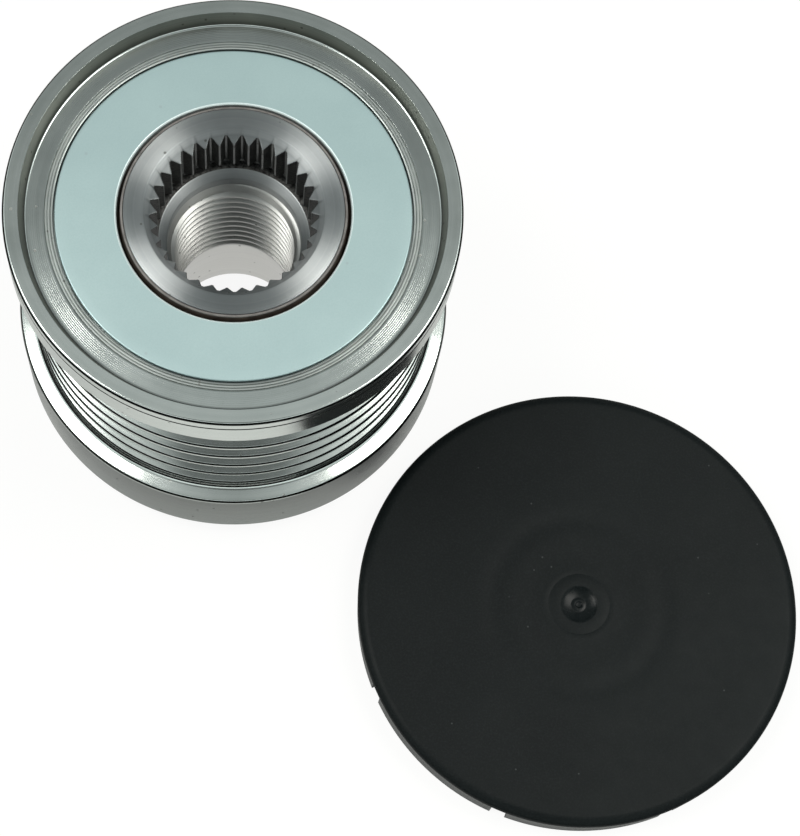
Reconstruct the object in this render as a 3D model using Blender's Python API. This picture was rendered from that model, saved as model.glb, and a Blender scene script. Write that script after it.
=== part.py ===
"""An overrunning alternator pulley, with its snap-on dust cap lying beside it.

Metres, +Z up. The shaft axis is +Z. The pulley stands on the rear face of its hub at z = 0,
with its front end up, as it stands on a bench. The ring turns freely one way round the hub:
two roller bearings carry it, and a roller clutch between them drives the hub the other way.
"""
import math

import bmesh
import bpy
from mathutils import Matrix, Vector

# Driving dimensions, in metres

RUNNING_GAP = 0.00025          # between a roller and its races, and round a turning piece
SEAT_GAP = 0.0003              # between pieces that sit on each other
DISC_GAP = 0.00015             # round the front disc, which shows as a fine line

THREAD_MAJOR_RADIUS = 0.0080   # shaft thread, 16 mm across
THREAD_PITCH = 0.0015
THREAD_TURNS = 12
THREAD_DEPTH_SHARE = 0.5413    # depth of an ISO metric nut thread, in pitches
SPLINE_TEETH = 33
SPLINE_TOOTH_DEPTH = 0.0007
SPLINE_ROOT_SHARE = 0.3        # of the tooth pitch that is flat at the bottom of a tooth space
SPLINE_ROOT_STEP = 0.00178     # from the thread's major radius out to the tooth roots
REAR_BORE_STEP = 0.0005        # from the thread's major radius out to the shaft pilot bore
HUB_WALL = 0.0027              # round the pilot bore
RACE_STEP = 0.00156            # from the hub tube out to the bearing races
HUB_FACE_RISE = 0.0004         # hub's front face above the front disc
HUB_CONE_STEP = 0.00098        # from the tooth roots out to the rim of the lead-in cone
HUB_CONE_DEPTH = 0.0013
SPLINE_END_DEPTH = 0.0073      # from the hub's front face down to the end of the teeth
RELIEF_LENGTH = 0.0011
RELIEF_STEP = 0.0004           # broach relief groove, out from the tooth roots
LEAD_IN_LENGTH = 0.00105
TAP_RELIEF_LENGTH = 0.0014
HUB_EDGE = 0.0003
RACE_EDGE = 0.0003

BEARING_ROLLER_RADIUS = 0.00187
BEARING_ROLLER_LENGTH = 0.0066
BEARING_ROLLERS = 12
CAGE_RIM = 0.0008
CAGE_WALL = 0.0022
CLUTCH_ROLLER_RADIUS = 0.0016
CLUTCH_ROLLER_LENGTH = 0.0092
CLUTCH_ROLLERS = 8
RAMP_TILT = math.radians(4.0)
RAMP_LAND = math.radians(1.2)  # round land between neighbouring ramps
CLUTCH_CAGE_CLEARANCE = 0.0004 # between the ramp ring and the clutch cage
SPRING_THICKNESS = 0.0002
SPRING_LENGTH = 0.0026
SPRING_FOLDS = 4
SPRING_END_GAP = 0.001         # a spring is this much shorter than its roller, in all
SLEEVE_WALL = 0.0020

RING_RAISE = 0.0033            # ring's rear face above the hub's rear face
RING_WALL = 0.0026             # under the groove bottoms
GROOVE_COUNT = 6
GROOVE_PITCH = 0.00356
GROOVE_ANGLE = math.radians(40.0)
GROOVE_DEPTH = 0.00295
RIB_LAND = 0.0007
FLANGE_HEIGHT = 0.0021         # rear flange above the rib tips
FRONT_FLANGE_HEIGHT = 0.0016
REAR_FLANGE_LENGTH = 0.01035
SHOULDER_HEIGHT = 0.00169      # from the rear flange up to the first groove
FLANGE_CONE_HEIGHT = 0.0015
FRONT_FLANGE_LENGTH = 0.0056
FLANGE_EDGE = 0.0004
SNAP_GROOVE_DEPTH = 0.00018
SNAP_GROOVE_RISE = 0.0042      # from the front flange's lower end
RIM_CROWN = 0.00035
RIM_WIDTH = 0.00185
RIM_LAND = 0.00035             # bevelled land round the front flange's edge
RECESS_DEPTH = 0.0027
LIP_WIDTH = 0.0008             # rolled lip that holds the front disc
LIP_HEIGHT = 0.00098
LIP_EDGE = 0.00014

DISC_SEAT_WIDTH = 0.00132
DISC_SEAT_DEPTH = 0.00036      # below the recess floor
DISC_THICKNESS = 0.0009
DISC_CROWN = 0.00018
DISC_EDGE = 0.0002
DISC_ROLL_WIDTH = 0.0013       # outer border that the rolling tool bends down
DISC_ROLL_DROP = 0.00016
DISC_INNER_GAP = 0.00089       # between the disc and the hub
SEAL_THICKNESS = 0.0009

REAR_SEAL_DEPTH = 0.0026
REAR_SEAL_SHEET = 0.0007
REAR_LIP_WIDTH = 0.0020

CAP_WALL = 0.00095
CAP_TOP = 0.0011
CAP_EDGE = 0.00066             # rounding of the cap's outer edge
CAP_DEPTH = 0.0041             # from the underside of the cap's top down to its open end
CAP_LIP = 0.00018              # how far the cap's top stands out past its skirt
CAP_BEAD = 0.0005              # reaches into the snap groove
CAP_SLOTS = 8
CAP_SLOT_WIDTH = 0.0020
CAP_SLOT_PHASE = math.radians(21.9)
CAP_DIMPLE_RADIUS = 0.0023     # moulding gate's dimple at the middle of the cap
CAP_DIMPLE_DEPTH = 0.0004
CAP_WAVE_RADIUS = 0.0110
CAP_WAVE_DEPTH = 0.00012
CAP_FIT = 0.0004               # between the cap's skirt and the front flange
CAP_SPACING = 0.00276          # bench gap between the cap and the ring
CAP_DIRECTION = math.radians(-41.29)

RING_SEGMENTS = 44
INNER_SEGMENTS = 36
ROLLER_SEGMENTS = 12
SHARP_ANGLE = math.radians(28.0)
ARC_MIDDLE = 1.0 - math.sqrt(0.5)   # how far the middle of a rounded corner lies in, in radii

# Radii that follow from them

REAR_BORE_RADIUS = THREAD_MAJOR_RADIUS + REAR_BORE_STEP
THREAD_DEPTH = THREAD_DEPTH_SHARE * THREAD_PITCH
THREAD_MINOR_RADIUS = THREAD_MAJOR_RADIUS - THREAD_DEPTH
HUB_TUBE_RADIUS = REAR_BORE_RADIUS + HUB_WALL
HUB_RACE_RADIUS = HUB_TUBE_RADIUS + RACE_STEP
SPLINE_ROOT_RADIUS = THREAD_MAJOR_RADIUS + SPLINE_ROOT_STEP
SPLINE_CREST_RADIUS = SPLINE_ROOT_RADIUS - SPLINE_TOOTH_DEPTH
HUB_CONE_RADIUS = SPLINE_ROOT_RADIUS + HUB_CONE_STEP

BEARING_PITCH_RADIUS = HUB_RACE_RADIUS + RUNNING_GAP + BEARING_ROLLER_RADIUS
SLEEVE_INNER_RADIUS = BEARING_PITCH_RADIUS + BEARING_ROLLER_RADIUS + RUNNING_GAP
SLEEVE_OUTER_RADIUS = SLEEVE_INNER_RADIUS + SLEEVE_WALL
RING_BORE_RADIUS = SLEEVE_OUTER_RADIUS + SEAT_GAP
GROOVE_ROOT_RADIUS = RING_BORE_RADIUS + RING_WALL
RIB_RADIUS = GROOVE_ROOT_RADIUS + GROOVE_DEPTH
FLANGE_RADIUS = RIB_RADIUS + FLANGE_HEIGHT
FRONT_RADIUS = RIB_RADIUS + FRONT_FLANGE_HEIGHT
RECESS_RADIUS = FRONT_RADIUS - RIM_WIDTH
COUNTERBORE_RADIUS = RING_BORE_RADIUS + DISC_SEAT_WIDTH + DISC_GAP
DISC_OUTER_RADIUS = COUNTERBORE_RADIUS - DISC_GAP
DISC_INNER_RADIUS = HUB_RACE_RADIUS + DISC_INNER_GAP

CLUTCH_PITCH_RADIUS = SLEEVE_INNER_RADIUS - RUNNING_GAP - CLUTCH_ROLLER_RADIUS
RAMP_DISTANCE = CLUTCH_PITCH_RADIUS - CLUTCH_ROLLER_RADIUS - RUNNING_GAP
RAMP_REACH = math.pi / CLUTCH_ROLLERS - 0.5 * RAMP_LAND
RAMP_RING_RADIUS = RAMP_DISTANCE * math.cos(RAMP_TILT) / math.cos(RAMP_REACH)
CLUTCH_CAGE_RADIUS = SLEEVE_INNER_RADIUS - 2.0 * RUNNING_GAP
CLUTCH_CAGE_WALL = CLUTCH_CAGE_RADIUS - RAMP_RING_RADIUS - CLUTCH_CAGE_CLEARANCE

CAP_INNER_RADIUS = FRONT_RADIUS + CAP_FIT
CAP_SKIRT_RADIUS = CAP_INNER_RADIUS + CAP_WALL
CAP_RADIUS = CAP_SKIRT_RADIUS + CAP_LIP
CAP_DISTANCE = FLANGE_RADIUS + CAP_RADIUS + CAP_SPACING

# Heights that follow from them

REAR_FLANGE_TOP = RING_RAISE + REAR_FLANGE_LENGTH
GROOVE_BASE = REAR_FLANGE_TOP + SHOULDER_HEIGHT
GROOVE_TOP = GROOVE_BASE + GROOVE_COUNT * GROOVE_PITCH - RIB_LAND
FLANGE_BOTTOM = GROOVE_TOP + FLANGE_CONE_HEIGHT
RIM_EDGE = FLANGE_BOTTOM + FRONT_FLANGE_LENGTH
RIM_TOP = RIM_EDGE + RIM_CROWN
RECESS_FLOOR = RIM_TOP - RECESS_DEPTH
SNAP_GROOVE = FLANGE_BOTTOM + SNAP_GROOVE_RISE
CAP_BEAD_HEIGHT = CAP_DEPTH - (RIM_TOP - SNAP_GROOVE)
DISC_SEAT = RECESS_FLOOR - DISC_SEAT_DEPTH
DISC_BOTTOM = DISC_SEAT + RUNNING_GAP
DISC_TOP = DISC_BOTTOM + DISC_THICKNESS
HUB_FACE = DISC_TOP + DISC_CROWN + HUB_FACE_RISE

FRONT_SEAL_TOP = DISC_BOTTOM - SEAT_GAP
FRONT_SEAL_BOTTOM = FRONT_SEAL_TOP - SEAL_THICKNESS
SLEEVE_TOP = FRONT_SEAL_BOTTOM - SEAT_GAP
SLEEVE_BOTTOM = RING_RAISE + REAR_SEAL_DEPTH + SEAT_GAP
REAR_SEAL_TOP = RING_RAISE + REAR_SEAL_DEPTH - SEAT_GAP
REAR_SEAL_BOTTOM = RING_RAISE + 2.0 * SEAT_GAP
CAGE_LENGTH = BEARING_ROLLER_LENGTH + 2.0 * (RUNNING_GAP + CAGE_RIM)
FRONT_CAGE_TOP = SLEEVE_TOP - SEAT_GAP
FRONT_CAGE_BOTTOM = FRONT_CAGE_TOP - CAGE_LENGTH
REAR_CAGE_BOTTOM = SLEEVE_BOTTOM + SEAT_GAP
REAR_CAGE_TOP = REAR_CAGE_BOTTOM + CAGE_LENGTH
HUB_STEP = FRONT_CAGE_BOTTOM - SEAT_GAP
REAR_RACE_TOP = REAR_CAGE_TOP + SEAT_GAP
CLUTCH_LENGTH = CLUTCH_ROLLER_LENGTH + 2.0 * (RUNNING_GAP + CAGE_RIM)
CLUTCH_MIDDLE = 0.5 * (HUB_STEP + REAR_RACE_TOP)

SPLINE_END = HUB_FACE - SPLINE_END_DEPTH
RELIEF_END = SPLINE_END - RELIEF_LENGTH
LEAD_IN_END = RELIEF_END - LEAD_IN_LENGTH
THREAD_START = LEAD_IN_END - TAP_RELIEF_LENGTH
THREAD_END = THREAD_START - THREAD_TURNS * THREAD_PITCH


# Helpers

def clear_scene():
    """Remove what the scene holds before modelling."""
    for item in list(bpy.data.objects):
        bpy.data.objects.remove(item, do_unlink=True)


def material(name, colour, roughness, metallic):
    """One Principled material, with the piece's colour and finish."""
    made = bpy.data.materials.new(name)
    made.use_nodes = True
    shader = made.node_tree.nodes["Principled BSDF"]
    shader.inputs["Base Color"].default_value = (*colour, 1.0)
    shader.inputs["Roughness"].default_value = roughness
    shader.inputs["Metallic"].default_value = metallic
    made.diffuse_color = (*colour, 1.0)
    return made


def finish_mesh(name, bm):
    """Close a bmesh into a mesh with outward faces, smooth where it is round."""
    bmesh.ops.remove_doubles(bm, verts=bm.verts, dist=1e-6)
    bmesh.ops.recalc_face_normals(bm, faces=bm.faces)
    mesh = bpy.data.meshes.new(name)
    bm.to_mesh(mesh)
    bm.free()
    mesh.shade_smooth()
    mesh.set_sharp_from_angle(angle=SHARP_ANGLE)
    return mesh


def add_object(name, mesh, look, parent=None, place=(0.0, 0.0, 0.0), turn=0.0):
    """Put a mesh in the scene as one named sub-part."""
    piece = bpy.data.objects.new(name, mesh)
    bpy.context.scene.collection.objects.link(piece)
    if not mesh.materials:
        mesh.materials.append(look)
    piece.parent = parent
    piece.location = place
    piece.rotation_euler = (0.0, 0.0, turn)
    return piece


def add_axis(name, place=(0.0, 0.0, 0.0), parent=None):
    """An empty on a joint's axis, which carries the pieces that turn with it."""
    axis = bpy.data.objects.new(name, None)
    bpy.context.scene.collection.objects.link(axis)
    axis.location = place
    axis.parent = parent
    return axis


def turned_mesh(name, profile, segments, closed=True):
    """Turn a profile of (radius, height) points round Z into one closed shell."""
    bm = bmesh.new()
    verts = [bm.verts.new((radius, 0.0, height)) for radius, height in profile]
    edges = [bm.edges.new(pair) for pair in zip(verts, verts[1:])]
    if closed:
        edges.append(bm.edges.new((verts[-1], verts[0])))
    bmesh.ops.spin(bm, geom=verts + edges, cent=(0.0, 0.0, 0.0), axis=(0.0, 0.0, 1.0),
                   angle=2.0 * math.pi, steps=segments, use_merge=True)
    return finish_mesh(name, bm)


def chamfered_section(inner, outer, bottom, top, edge):
    """A washer's or sleeve's section, with its two outer corners chamfered."""
    return [(inner, bottom), (outer - edge, bottom), (outer, bottom + edge),
            (outer, top - edge), (outer - edge, top), (inner, top)]


def plain_section(inner, outer, bottom, top):
    """A square section."""
    return [(inner, bottom), (outer, bottom), (outer, top), (inner, top)]


def add_boxes(bm, count, phase, radius, size, height):
    """Boxes of the given radial, tangential and axial size, set round the axis."""
    for index in range(count):
        angle = phase + index * 2.0 * math.pi / count
        place = Matrix.Rotation(angle, 4, "Z") @ Matrix.Translation((radius, 0.0, height))
        shape = Matrix.Diagonal((*size, 1.0))
        bmesh.ops.create_cube(bm, size=1.0, matrix=place @ shape)


def cut(piece, name, bm, parent=None):
    """Cut a closed shape out of a piece with a Boolean."""
    cutter = bpy.data.objects.new(name, finish_mesh(name, bm))
    bpy.context.scene.collection.objects.link(cutter)
    cutter.parent = parent
    cutter.hide_render = True
    cutter.display_type = "WIRE"
    step = piece.modifiers.new(name, "BOOLEAN")
    step.operation = "DIFFERENCE"
    step.solver = "EXACT"
    step.object = cutter


def round_place(index, count, radius, height=0.0):
    """Where copy number index of count stands on a circle."""
    angle = index * 2.0 * math.pi / count
    return (radius * math.cos(angle), radius * math.sin(angle), height)


# Pulley ring

def groove_points():
    """The V-grooves, from the rear one up, each as its lower lip, two roots and upper lip."""
    flank = GROOVE_DEPTH * math.tan(0.5 * GROOVE_ANGLE)
    mouth = GROOVE_PITCH - RIB_LAND
    points = []
    for index in range(GROOVE_COUNT):
        base = GROOVE_BASE + index * GROOVE_PITCH
        points += [(RIB_RADIUS, base),
                   (GROOVE_ROOT_RADIUS, base + flank),
                   (GROOVE_ROOT_RADIUS, base + mouth - flank),
                   (RIB_RADIUS, base + mouth)]
    return points


def rear_flange_points():
    """The deep rear flange and the shoulder that runs up to the first rib."""
    return [(FLANGE_RADIUS - FLANGE_EDGE, RING_RAISE),
            (FLANGE_RADIUS, RING_RAISE + FLANGE_EDGE),
            (FLANGE_RADIUS, REAR_FLANGE_TOP - FLANGE_EDGE),
            (FLANGE_RADIUS - FLANGE_EDGE, REAR_FLANGE_TOP),
            (RIB_RADIUS + FLANGE_EDGE, REAR_FLANGE_TOP + FLANGE_EDGE),
            (RIB_RADIUS, GROOVE_BASE - RIB_LAND)]


def front_flange_points():
    """The coned underside, the cap's snap groove, the bevelled land and the rim's face."""
    return [(RIB_RADIUS, GROOVE_TOP + 0.5 * RIB_LAND),
            (FRONT_RADIUS - FLANGE_EDGE, FLANGE_BOTTOM),
            (FRONT_RADIUS, FLANGE_BOTTOM + FLANGE_EDGE),
            (FRONT_RADIUS, SNAP_GROOVE - SNAP_GROOVE_DEPTH),
            (FRONT_RADIUS - SNAP_GROOVE_DEPTH, SNAP_GROOVE),
            (FRONT_RADIUS, SNAP_GROOVE + SNAP_GROOVE_DEPTH),
            (FRONT_RADIUS, RIM_EDGE - RIM_LAND),
            (FRONT_RADIUS - RIM_LAND, RIM_EDGE),
            (RECESS_RADIUS + 0.5 * FLANGE_EDGE, RIM_TOP),
            (RECESS_RADIUS, RIM_TOP - 0.5 * FLANGE_EDGE)]


def recess_points():
    """The front recess, the rolled lip round the disc, and the disc's seat."""
    lip_top = RECESS_FLOOR + LIP_HEIGHT
    lip_radius = COUNTERBORE_RADIUS + LIP_WIDTH
    return [(RECESS_RADIUS, RECESS_FLOOR),
            (lip_radius, RECESS_FLOOR),
            (lip_radius - LIP_EDGE, lip_top),
            (COUNTERBORE_RADIUS + LIP_EDGE, lip_top),
            (COUNTERBORE_RADIUS, lip_top - LIP_EDGE),
            (COUNTERBORE_RADIUS, DISC_SEAT),
            (RING_BORE_RADIUS, DISC_SEAT)]


def rear_counterbore_points():
    """The seat of the rear seal and the edge of the rear face."""
    return [(RING_BORE_RADIUS, RING_RAISE + REAR_SEAL_DEPTH),
            (COUNTERBORE_RADIUS, RING_RAISE + REAR_SEAL_DEPTH),
            (COUNTERBORE_RADIUS, RING_RAISE)]


def make_pulley_ring(look, axis):
    """One steel turning: rear flange, V-grooves, front flange, recess and bore."""
    profile = (rear_flange_points() + groove_points() + front_flange_points()
               + recess_points() + rear_counterbore_points())
    add_object("pulley_ring", turned_mesh("pulley_ring", profile, RING_SEGMENTS), look, axis)


def make_race_sleeve(look, axis):
    """The hardened sleeve pressed into the ring: outer race of both bearings and the clutch."""
    profile = chamfered_section(SLEEVE_INNER_RADIUS, SLEEVE_OUTER_RADIUS,
                                SLEEVE_BOTTOM, SLEEVE_TOP, RACE_EDGE)
    add_object("race_sleeve", turned_mesh("race_sleeve", profile, INNER_SEGMENTS), look, axis)


# Front end

def make_front_disc(look, axis):
    """The plated sheet disc, slightly crowned towards the hub, with rolled edges."""
    inner_top = DISC_TOP + DISC_CROWN
    border = DISC_TOP - DISC_ROLL_DROP
    profile = [(DISC_INNER_RADIUS, DISC_BOTTOM),
               (DISC_OUTER_RADIUS, DISC_BOTTOM),
               (DISC_OUTER_RADIUS, border - DISC_EDGE),
               (DISC_OUTER_RADIUS - DISC_EDGE, border),
               (DISC_OUTER_RADIUS - DISC_ROLL_WIDTH, DISC_TOP),
               (DISC_INNER_RADIUS + DISC_EDGE, inner_top),
               (DISC_INNER_RADIUS, inner_top - DISC_EDGE)]
    add_object("front_disc", turned_mesh("front_disc", profile, RING_SEGMENTS), look, axis)


def make_front_seal(look, axis):
    """The seal washer under the disc, whose lip runs round the hub."""
    lip = HUB_RACE_RADIUS + RUNNING_GAP
    profile = [(lip + SEAL_THICKNESS, FRONT_SEAL_BOTTOM),
               (RING_BORE_RADIUS - SEAT_GAP, FRONT_SEAL_BOTTOM),
               (RING_BORE_RADIUS - SEAT_GAP, FRONT_SEAL_TOP),
               (lip, FRONT_SEAL_TOP),
               (lip, FRONT_SEAL_TOP - 0.5 * SEAL_THICKNESS)]
    add_object("front_seal", turned_mesh("front_seal", profile, RING_SEGMENTS), look, axis)


# Rear end

def make_rear_seal(case_look, lip_look, axis):
    """The rear seal: a pressed steel case in the counterbore, and its rubber lip."""
    case_radius = COUNTERBORE_RADIUS - SEAT_GAP
    window = HUB_TUBE_RADIUS + RUNNING_GAP + REAR_LIP_WIDTH
    case = [(case_radius - REAR_SEAL_SHEET, REAR_SEAL_BOTTOM),
            (case_radius, REAR_SEAL_BOTTOM),
            (case_radius, REAR_SEAL_TOP),
            (window + SEAT_GAP, REAR_SEAL_TOP),
            (window + SEAT_GAP, REAR_SEAL_TOP - REAR_SEAL_SHEET),
            (case_radius - REAR_SEAL_SHEET, REAR_SEAL_TOP - REAR_SEAL_SHEET)]
    add_object("rear_seal_case", turned_mesh("rear_seal_case", case, INNER_SEGMENTS),
               case_look, axis)
    lip = [(window - REAR_LIP_WIDTH, REAR_SEAL_BOTTOM),
           (window - 0.5 * REAR_LIP_WIDTH, REAR_SEAL_BOTTOM),
           (window, REAR_SEAL_TOP - REAR_SEAL_SHEET),
           (window, REAR_SEAL_TOP),
           (window - 0.5 * REAR_LIP_WIDTH, REAR_SEAL_TOP)]
    add_object("rear_seal_lip", turned_mesh("rear_seal_lip", lip, INNER_SEGMENTS),
               lip_look, axis)


# Hub

def hub_profile():
    """The hub's section: race, tube, pilot bore, thread bore, relief and lead-in cone."""
    relief = SPLINE_ROOT_RADIUS + RELIEF_STEP
    crest_height = HUB_FACE - HUB_CONE_DEPTH
    return [(HUB_RACE_RADIUS - HUB_EDGE, HUB_FACE),
            (HUB_RACE_RADIUS, HUB_FACE - HUB_EDGE),
            (HUB_RACE_RADIUS, HUB_STEP),
            (HUB_TUBE_RADIUS, HUB_STEP),
            (HUB_TUBE_RADIUS, HUB_EDGE),
            (HUB_TUBE_RADIUS - HUB_EDGE, 0.0),
            (REAR_BORE_RADIUS + HUB_EDGE, 0.0),
            (REAR_BORE_RADIUS, HUB_EDGE),
            (REAR_BORE_RADIUS, THREAD_END - THREAD_DEPTH),
            (THREAD_MINOR_RADIUS, THREAD_END),
            (THREAD_MINOR_RADIUS, THREAD_START - THREAD_DEPTH),
            (THREAD_MAJOR_RADIUS, THREAD_START),
            (THREAD_MAJOR_RADIUS, LEAD_IN_END),
            (SPLINE_CREST_RADIUS, RELIEF_END),
            (relief, RELIEF_END),
            (relief, SPLINE_END),
            (SPLINE_CREST_RADIUS, SPLINE_END),
            (SPLINE_CREST_RADIUS, crest_height),
            (HUB_CONE_RADIUS, HUB_FACE)]


def spline_cutter():
    """A prism of the spline's tooth spaces, as a broach leaves them."""
    pitch = 2.0 * math.pi / SPLINE_TEETH
    root_half = SPLINE_ROOT_SHARE * 0.5 * pitch
    mouth_half = 0.5 * pitch - root_half
    inside = SPLINE_CREST_RADIUS - 0.5 * SPLINE_TOOTH_DEPTH
    space = ((inside, -mouth_half), (SPLINE_ROOT_RADIUS, -root_half),
             (SPLINE_ROOT_RADIUS, root_half), (inside, mouth_half))
    bottom = SPLINE_END - 0.5 * RELIEF_LENGTH
    bm = bmesh.new()
    outline = []
    for index in range(SPLINE_TEETH):
        for radius, offset in space:
            angle = index * pitch + offset
            outline.append(bm.verts.new((radius * math.cos(angle),
                                         radius * math.sin(angle), bottom)))
    face = bm.faces.new(outline)
    grown = bmesh.ops.extrude_face_region(bm, geom=[face])
    top = [item for item in grown["geom"] if isinstance(item, bmesh.types.BMVert)]
    bmesh.ops.translate(bm, verts=top, vec=Vector((0.0, 0.0, HUB_FACE + HUB_CONE_DEPTH - bottom)))
    return bm


def make_hub(look):
    """The hardened hub tube, with the internal spline cut into its bore."""
    hub = add_object("hub", turned_mesh("hub", hub_profile(), RING_SEGMENTS), look)
    cut(hub, "spline_cutter", spline_cutter())


def make_rear_race(look):
    """The inner race of the rear bearing, pressed on the hub tube."""
    profile = chamfered_section(HUB_TUBE_RADIUS + SEAT_GAP, HUB_RACE_RADIUS,
                                SLEEVE_BOTTOM, REAR_RACE_TOP, RACE_EDGE)
    add_object("rear_race", turned_mesh("rear_race", profile, INNER_SEGMENTS), look)


# Bearings

def make_cage(name, look, axis, bottom):
    """A bearing cage: a moulded ring with one window for each roller."""
    inner = BEARING_PITCH_RADIUS - 0.5 * CAGE_WALL
    outer = BEARING_PITCH_RADIUS + 0.5 * CAGE_WALL
    profile = plain_section(inner, outer, bottom, bottom + CAGE_LENGTH)
    cage = add_object(name, turned_mesh(name, profile, INNER_SEGMENTS), look, axis)
    bm = bmesh.new()
    window = 2.0 * (BEARING_ROLLER_RADIUS + RUNNING_GAP)
    size = (2.0 * CAGE_WALL, window, BEARING_ROLLER_LENGTH + 2.0 * RUNNING_GAP)
    add_boxes(bm, BEARING_ROLLERS, 0.0, BEARING_PITCH_RADIUS, size, bottom + 0.5 * CAGE_LENGTH)
    cut(cage, name + "_windows", bm, axis)


def roller_mesh(name, radius, length):
    """A bearing or clutch roller standing on Z, centred on its own origin."""
    bm = bmesh.new()
    bmesh.ops.create_cone(bm, cap_ends=True, segments=ROLLER_SEGMENTS,
                          radius1=radius, radius2=radius, depth=length)
    return finish_mesh(name, bm)


def make_bearing(end, cage_look, roller_look, bottom):
    """One roller bearing: its cage turns about the shaft axis and carries the rollers."""
    axis = add_axis(end + "_cage_axis")
    make_cage(end + "_cage", cage_look, axis, bottom)
    mesh = roller_mesh(end + "_roller", BEARING_ROLLER_RADIUS, BEARING_ROLLER_LENGTH)
    for index in range(BEARING_ROLLERS):
        place = round_place(index, BEARING_ROLLERS, BEARING_PITCH_RADIUS,
                            bottom + 0.5 * CAGE_LENGTH)
        add_object(f"{end}_roller_{index + 1:02d}", mesh, roller_look, axis, place)


# One-way clutch

def ramp_outline():
    """Angle and radius round the ramp ring: one tilted flat for each roller."""
    points = []
    pitch = 2.0 * math.pi / CLUTCH_ROLLERS
    distance = RAMP_DISTANCE * math.cos(RAMP_TILT)
    for index in range(CLUTCH_ROLLERS):
        normal = index * pitch + RAMP_TILT
        points += [(normal - RAMP_REACH, RAMP_RING_RADIUS),
                   (normal, distance),
                   (normal + RAMP_REACH, RAMP_RING_RADIUS),
                   (normal + 0.5 * pitch, RAMP_RING_RADIUS)]
    return points


def make_ramp_ring(look):
    """The ramp ring pressed on the hub, which the rollers wedge against."""
    bottom = CLUTCH_MIDDLE - 0.5 * CLUTCH_LENGTH
    inner = HUB_TUBE_RADIUS + SEAT_GAP
    bm = bmesh.new()
    outer_loop = []
    inner_loop = []
    for angle, radius in ramp_outline():
        direction = Vector((math.cos(angle), math.sin(angle), 0.0))
        outer_loop.append(bm.verts.new(direction * radius + Vector((0.0, 0.0, bottom))))
        inner_loop.append(bm.verts.new(direction * inner + Vector((0.0, 0.0, bottom))))
    edges = []
    for loop in (outer_loop, inner_loop):
        edges += [bm.edges.new(pair) for pair in zip(loop, loop[1:] + loop[:1])]
    bmesh.ops.bridge_loops(bm, edges=edges)
    grown = bmesh.ops.extrude_face_region(bm, geom=list(bm.faces))
    top = [item for item in grown["geom"] if isinstance(item, bmesh.types.BMVert)]
    bmesh.ops.translate(bm, verts=top, vec=Vector((0.0, 0.0, CLUTCH_LENGTH)))
    add_object("ramp_ring", finish_mesh("ramp_ring", bm), look)


def make_clutch_cage(look):
    """The clutch cage, with a window for each roller and its spring."""
    bottom = CLUTCH_MIDDLE - 0.5 * CLUTCH_LENGTH
    profile = plain_section(CLUTCH_CAGE_RADIUS - CLUTCH_CAGE_WALL, CLUTCH_CAGE_RADIUS,
                            bottom, bottom + CLUTCH_LENGTH)
    cage = add_object("clutch_cage", turned_mesh("clutch_cage", profile, INNER_SEGMENTS), look)
    half = CLUTCH_ROLLER_RADIUS + RUNNING_GAP
    span = 2.0 * half + SPRING_LENGTH + RUNNING_GAP
    shift = math.asin((0.5 * span - half) / CLUTCH_PITCH_RADIUS)
    bm = bmesh.new()
    size = (3.0 * CLUTCH_CAGE_WALL, span, CLUTCH_ROLLER_LENGTH + 2.0 * RUNNING_GAP)
    add_boxes(bm, CLUTCH_ROLLERS, -shift, CLUTCH_CAGE_RADIUS, size, CLUTCH_MIDDLE)
    cut(cage, "clutch_cage_windows", bm)


def spring_mesh():
    """A leaf spring folded in a zigzag, pushing along -Y from the roller."""
    depth = 0.5 * CLUTCH_CAGE_WALL
    height = CLUTCH_ROLLER_LENGTH - SPRING_END_GAP
    bm = bmesh.new()
    line = []
    for index in range(SPRING_FOLDS + 1):
        side = 0.5 if index % 2 else -0.5
        along = -SPRING_LENGTH * index / SPRING_FOLDS
        line.append(bm.verts.new((side * depth, along, -0.5 * height)))
    edges = [bm.edges.new(pair) for pair in zip(line, line[1:])]
    grown = bmesh.ops.extrude_edge_only(bm, edges=edges)
    top = [item for item in grown["geom"] if isinstance(item, bmesh.types.BMVert)]
    bmesh.ops.translate(bm, verts=top, vec=Vector((0.0, 0.0, height)))
    return finish_mesh("clutch_spring", bm)


def make_clutch_springs(look):
    """One spring behind each clutch roller, held by the cage's window."""
    mesh = spring_mesh()
    start = CLUTCH_ROLLER_RADIUS + 0.5 * RUNNING_GAP + 0.5 * SPRING_THICKNESS
    for index in range(CLUTCH_ROLLERS):
        turn = index * 2.0 * math.pi / CLUTCH_ROLLERS
        radial = Vector((math.cos(turn), math.sin(turn), 0.0))
        back = Vector((math.sin(turn), -math.cos(turn), 0.0))
        place = radial * CLUTCH_PITCH_RADIUS + back * start
        place.z = CLUTCH_MIDDLE
        spring = add_object(f"clutch_spring_{index + 1}", mesh, look, None, place, turn)
        sheet = spring.modifiers.new("sheet", "SOLIDIFY")
        sheet.thickness = SPRING_THICKNESS
        sheet.offset = 0.0


def make_clutch_rollers(look):
    """The wedging rollers, each on its ramp."""
    mesh = roller_mesh("clutch_roller", CLUTCH_ROLLER_RADIUS, CLUTCH_ROLLER_LENGTH)
    for index in range(CLUTCH_ROLLERS):
        place = round_place(index, CLUTCH_ROLLERS, CLUTCH_PITCH_RADIUS, CLUTCH_MIDDLE)
        add_object(f"clutch_roller_{index + 1}", mesh, look, None, place)


# Cap

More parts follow.
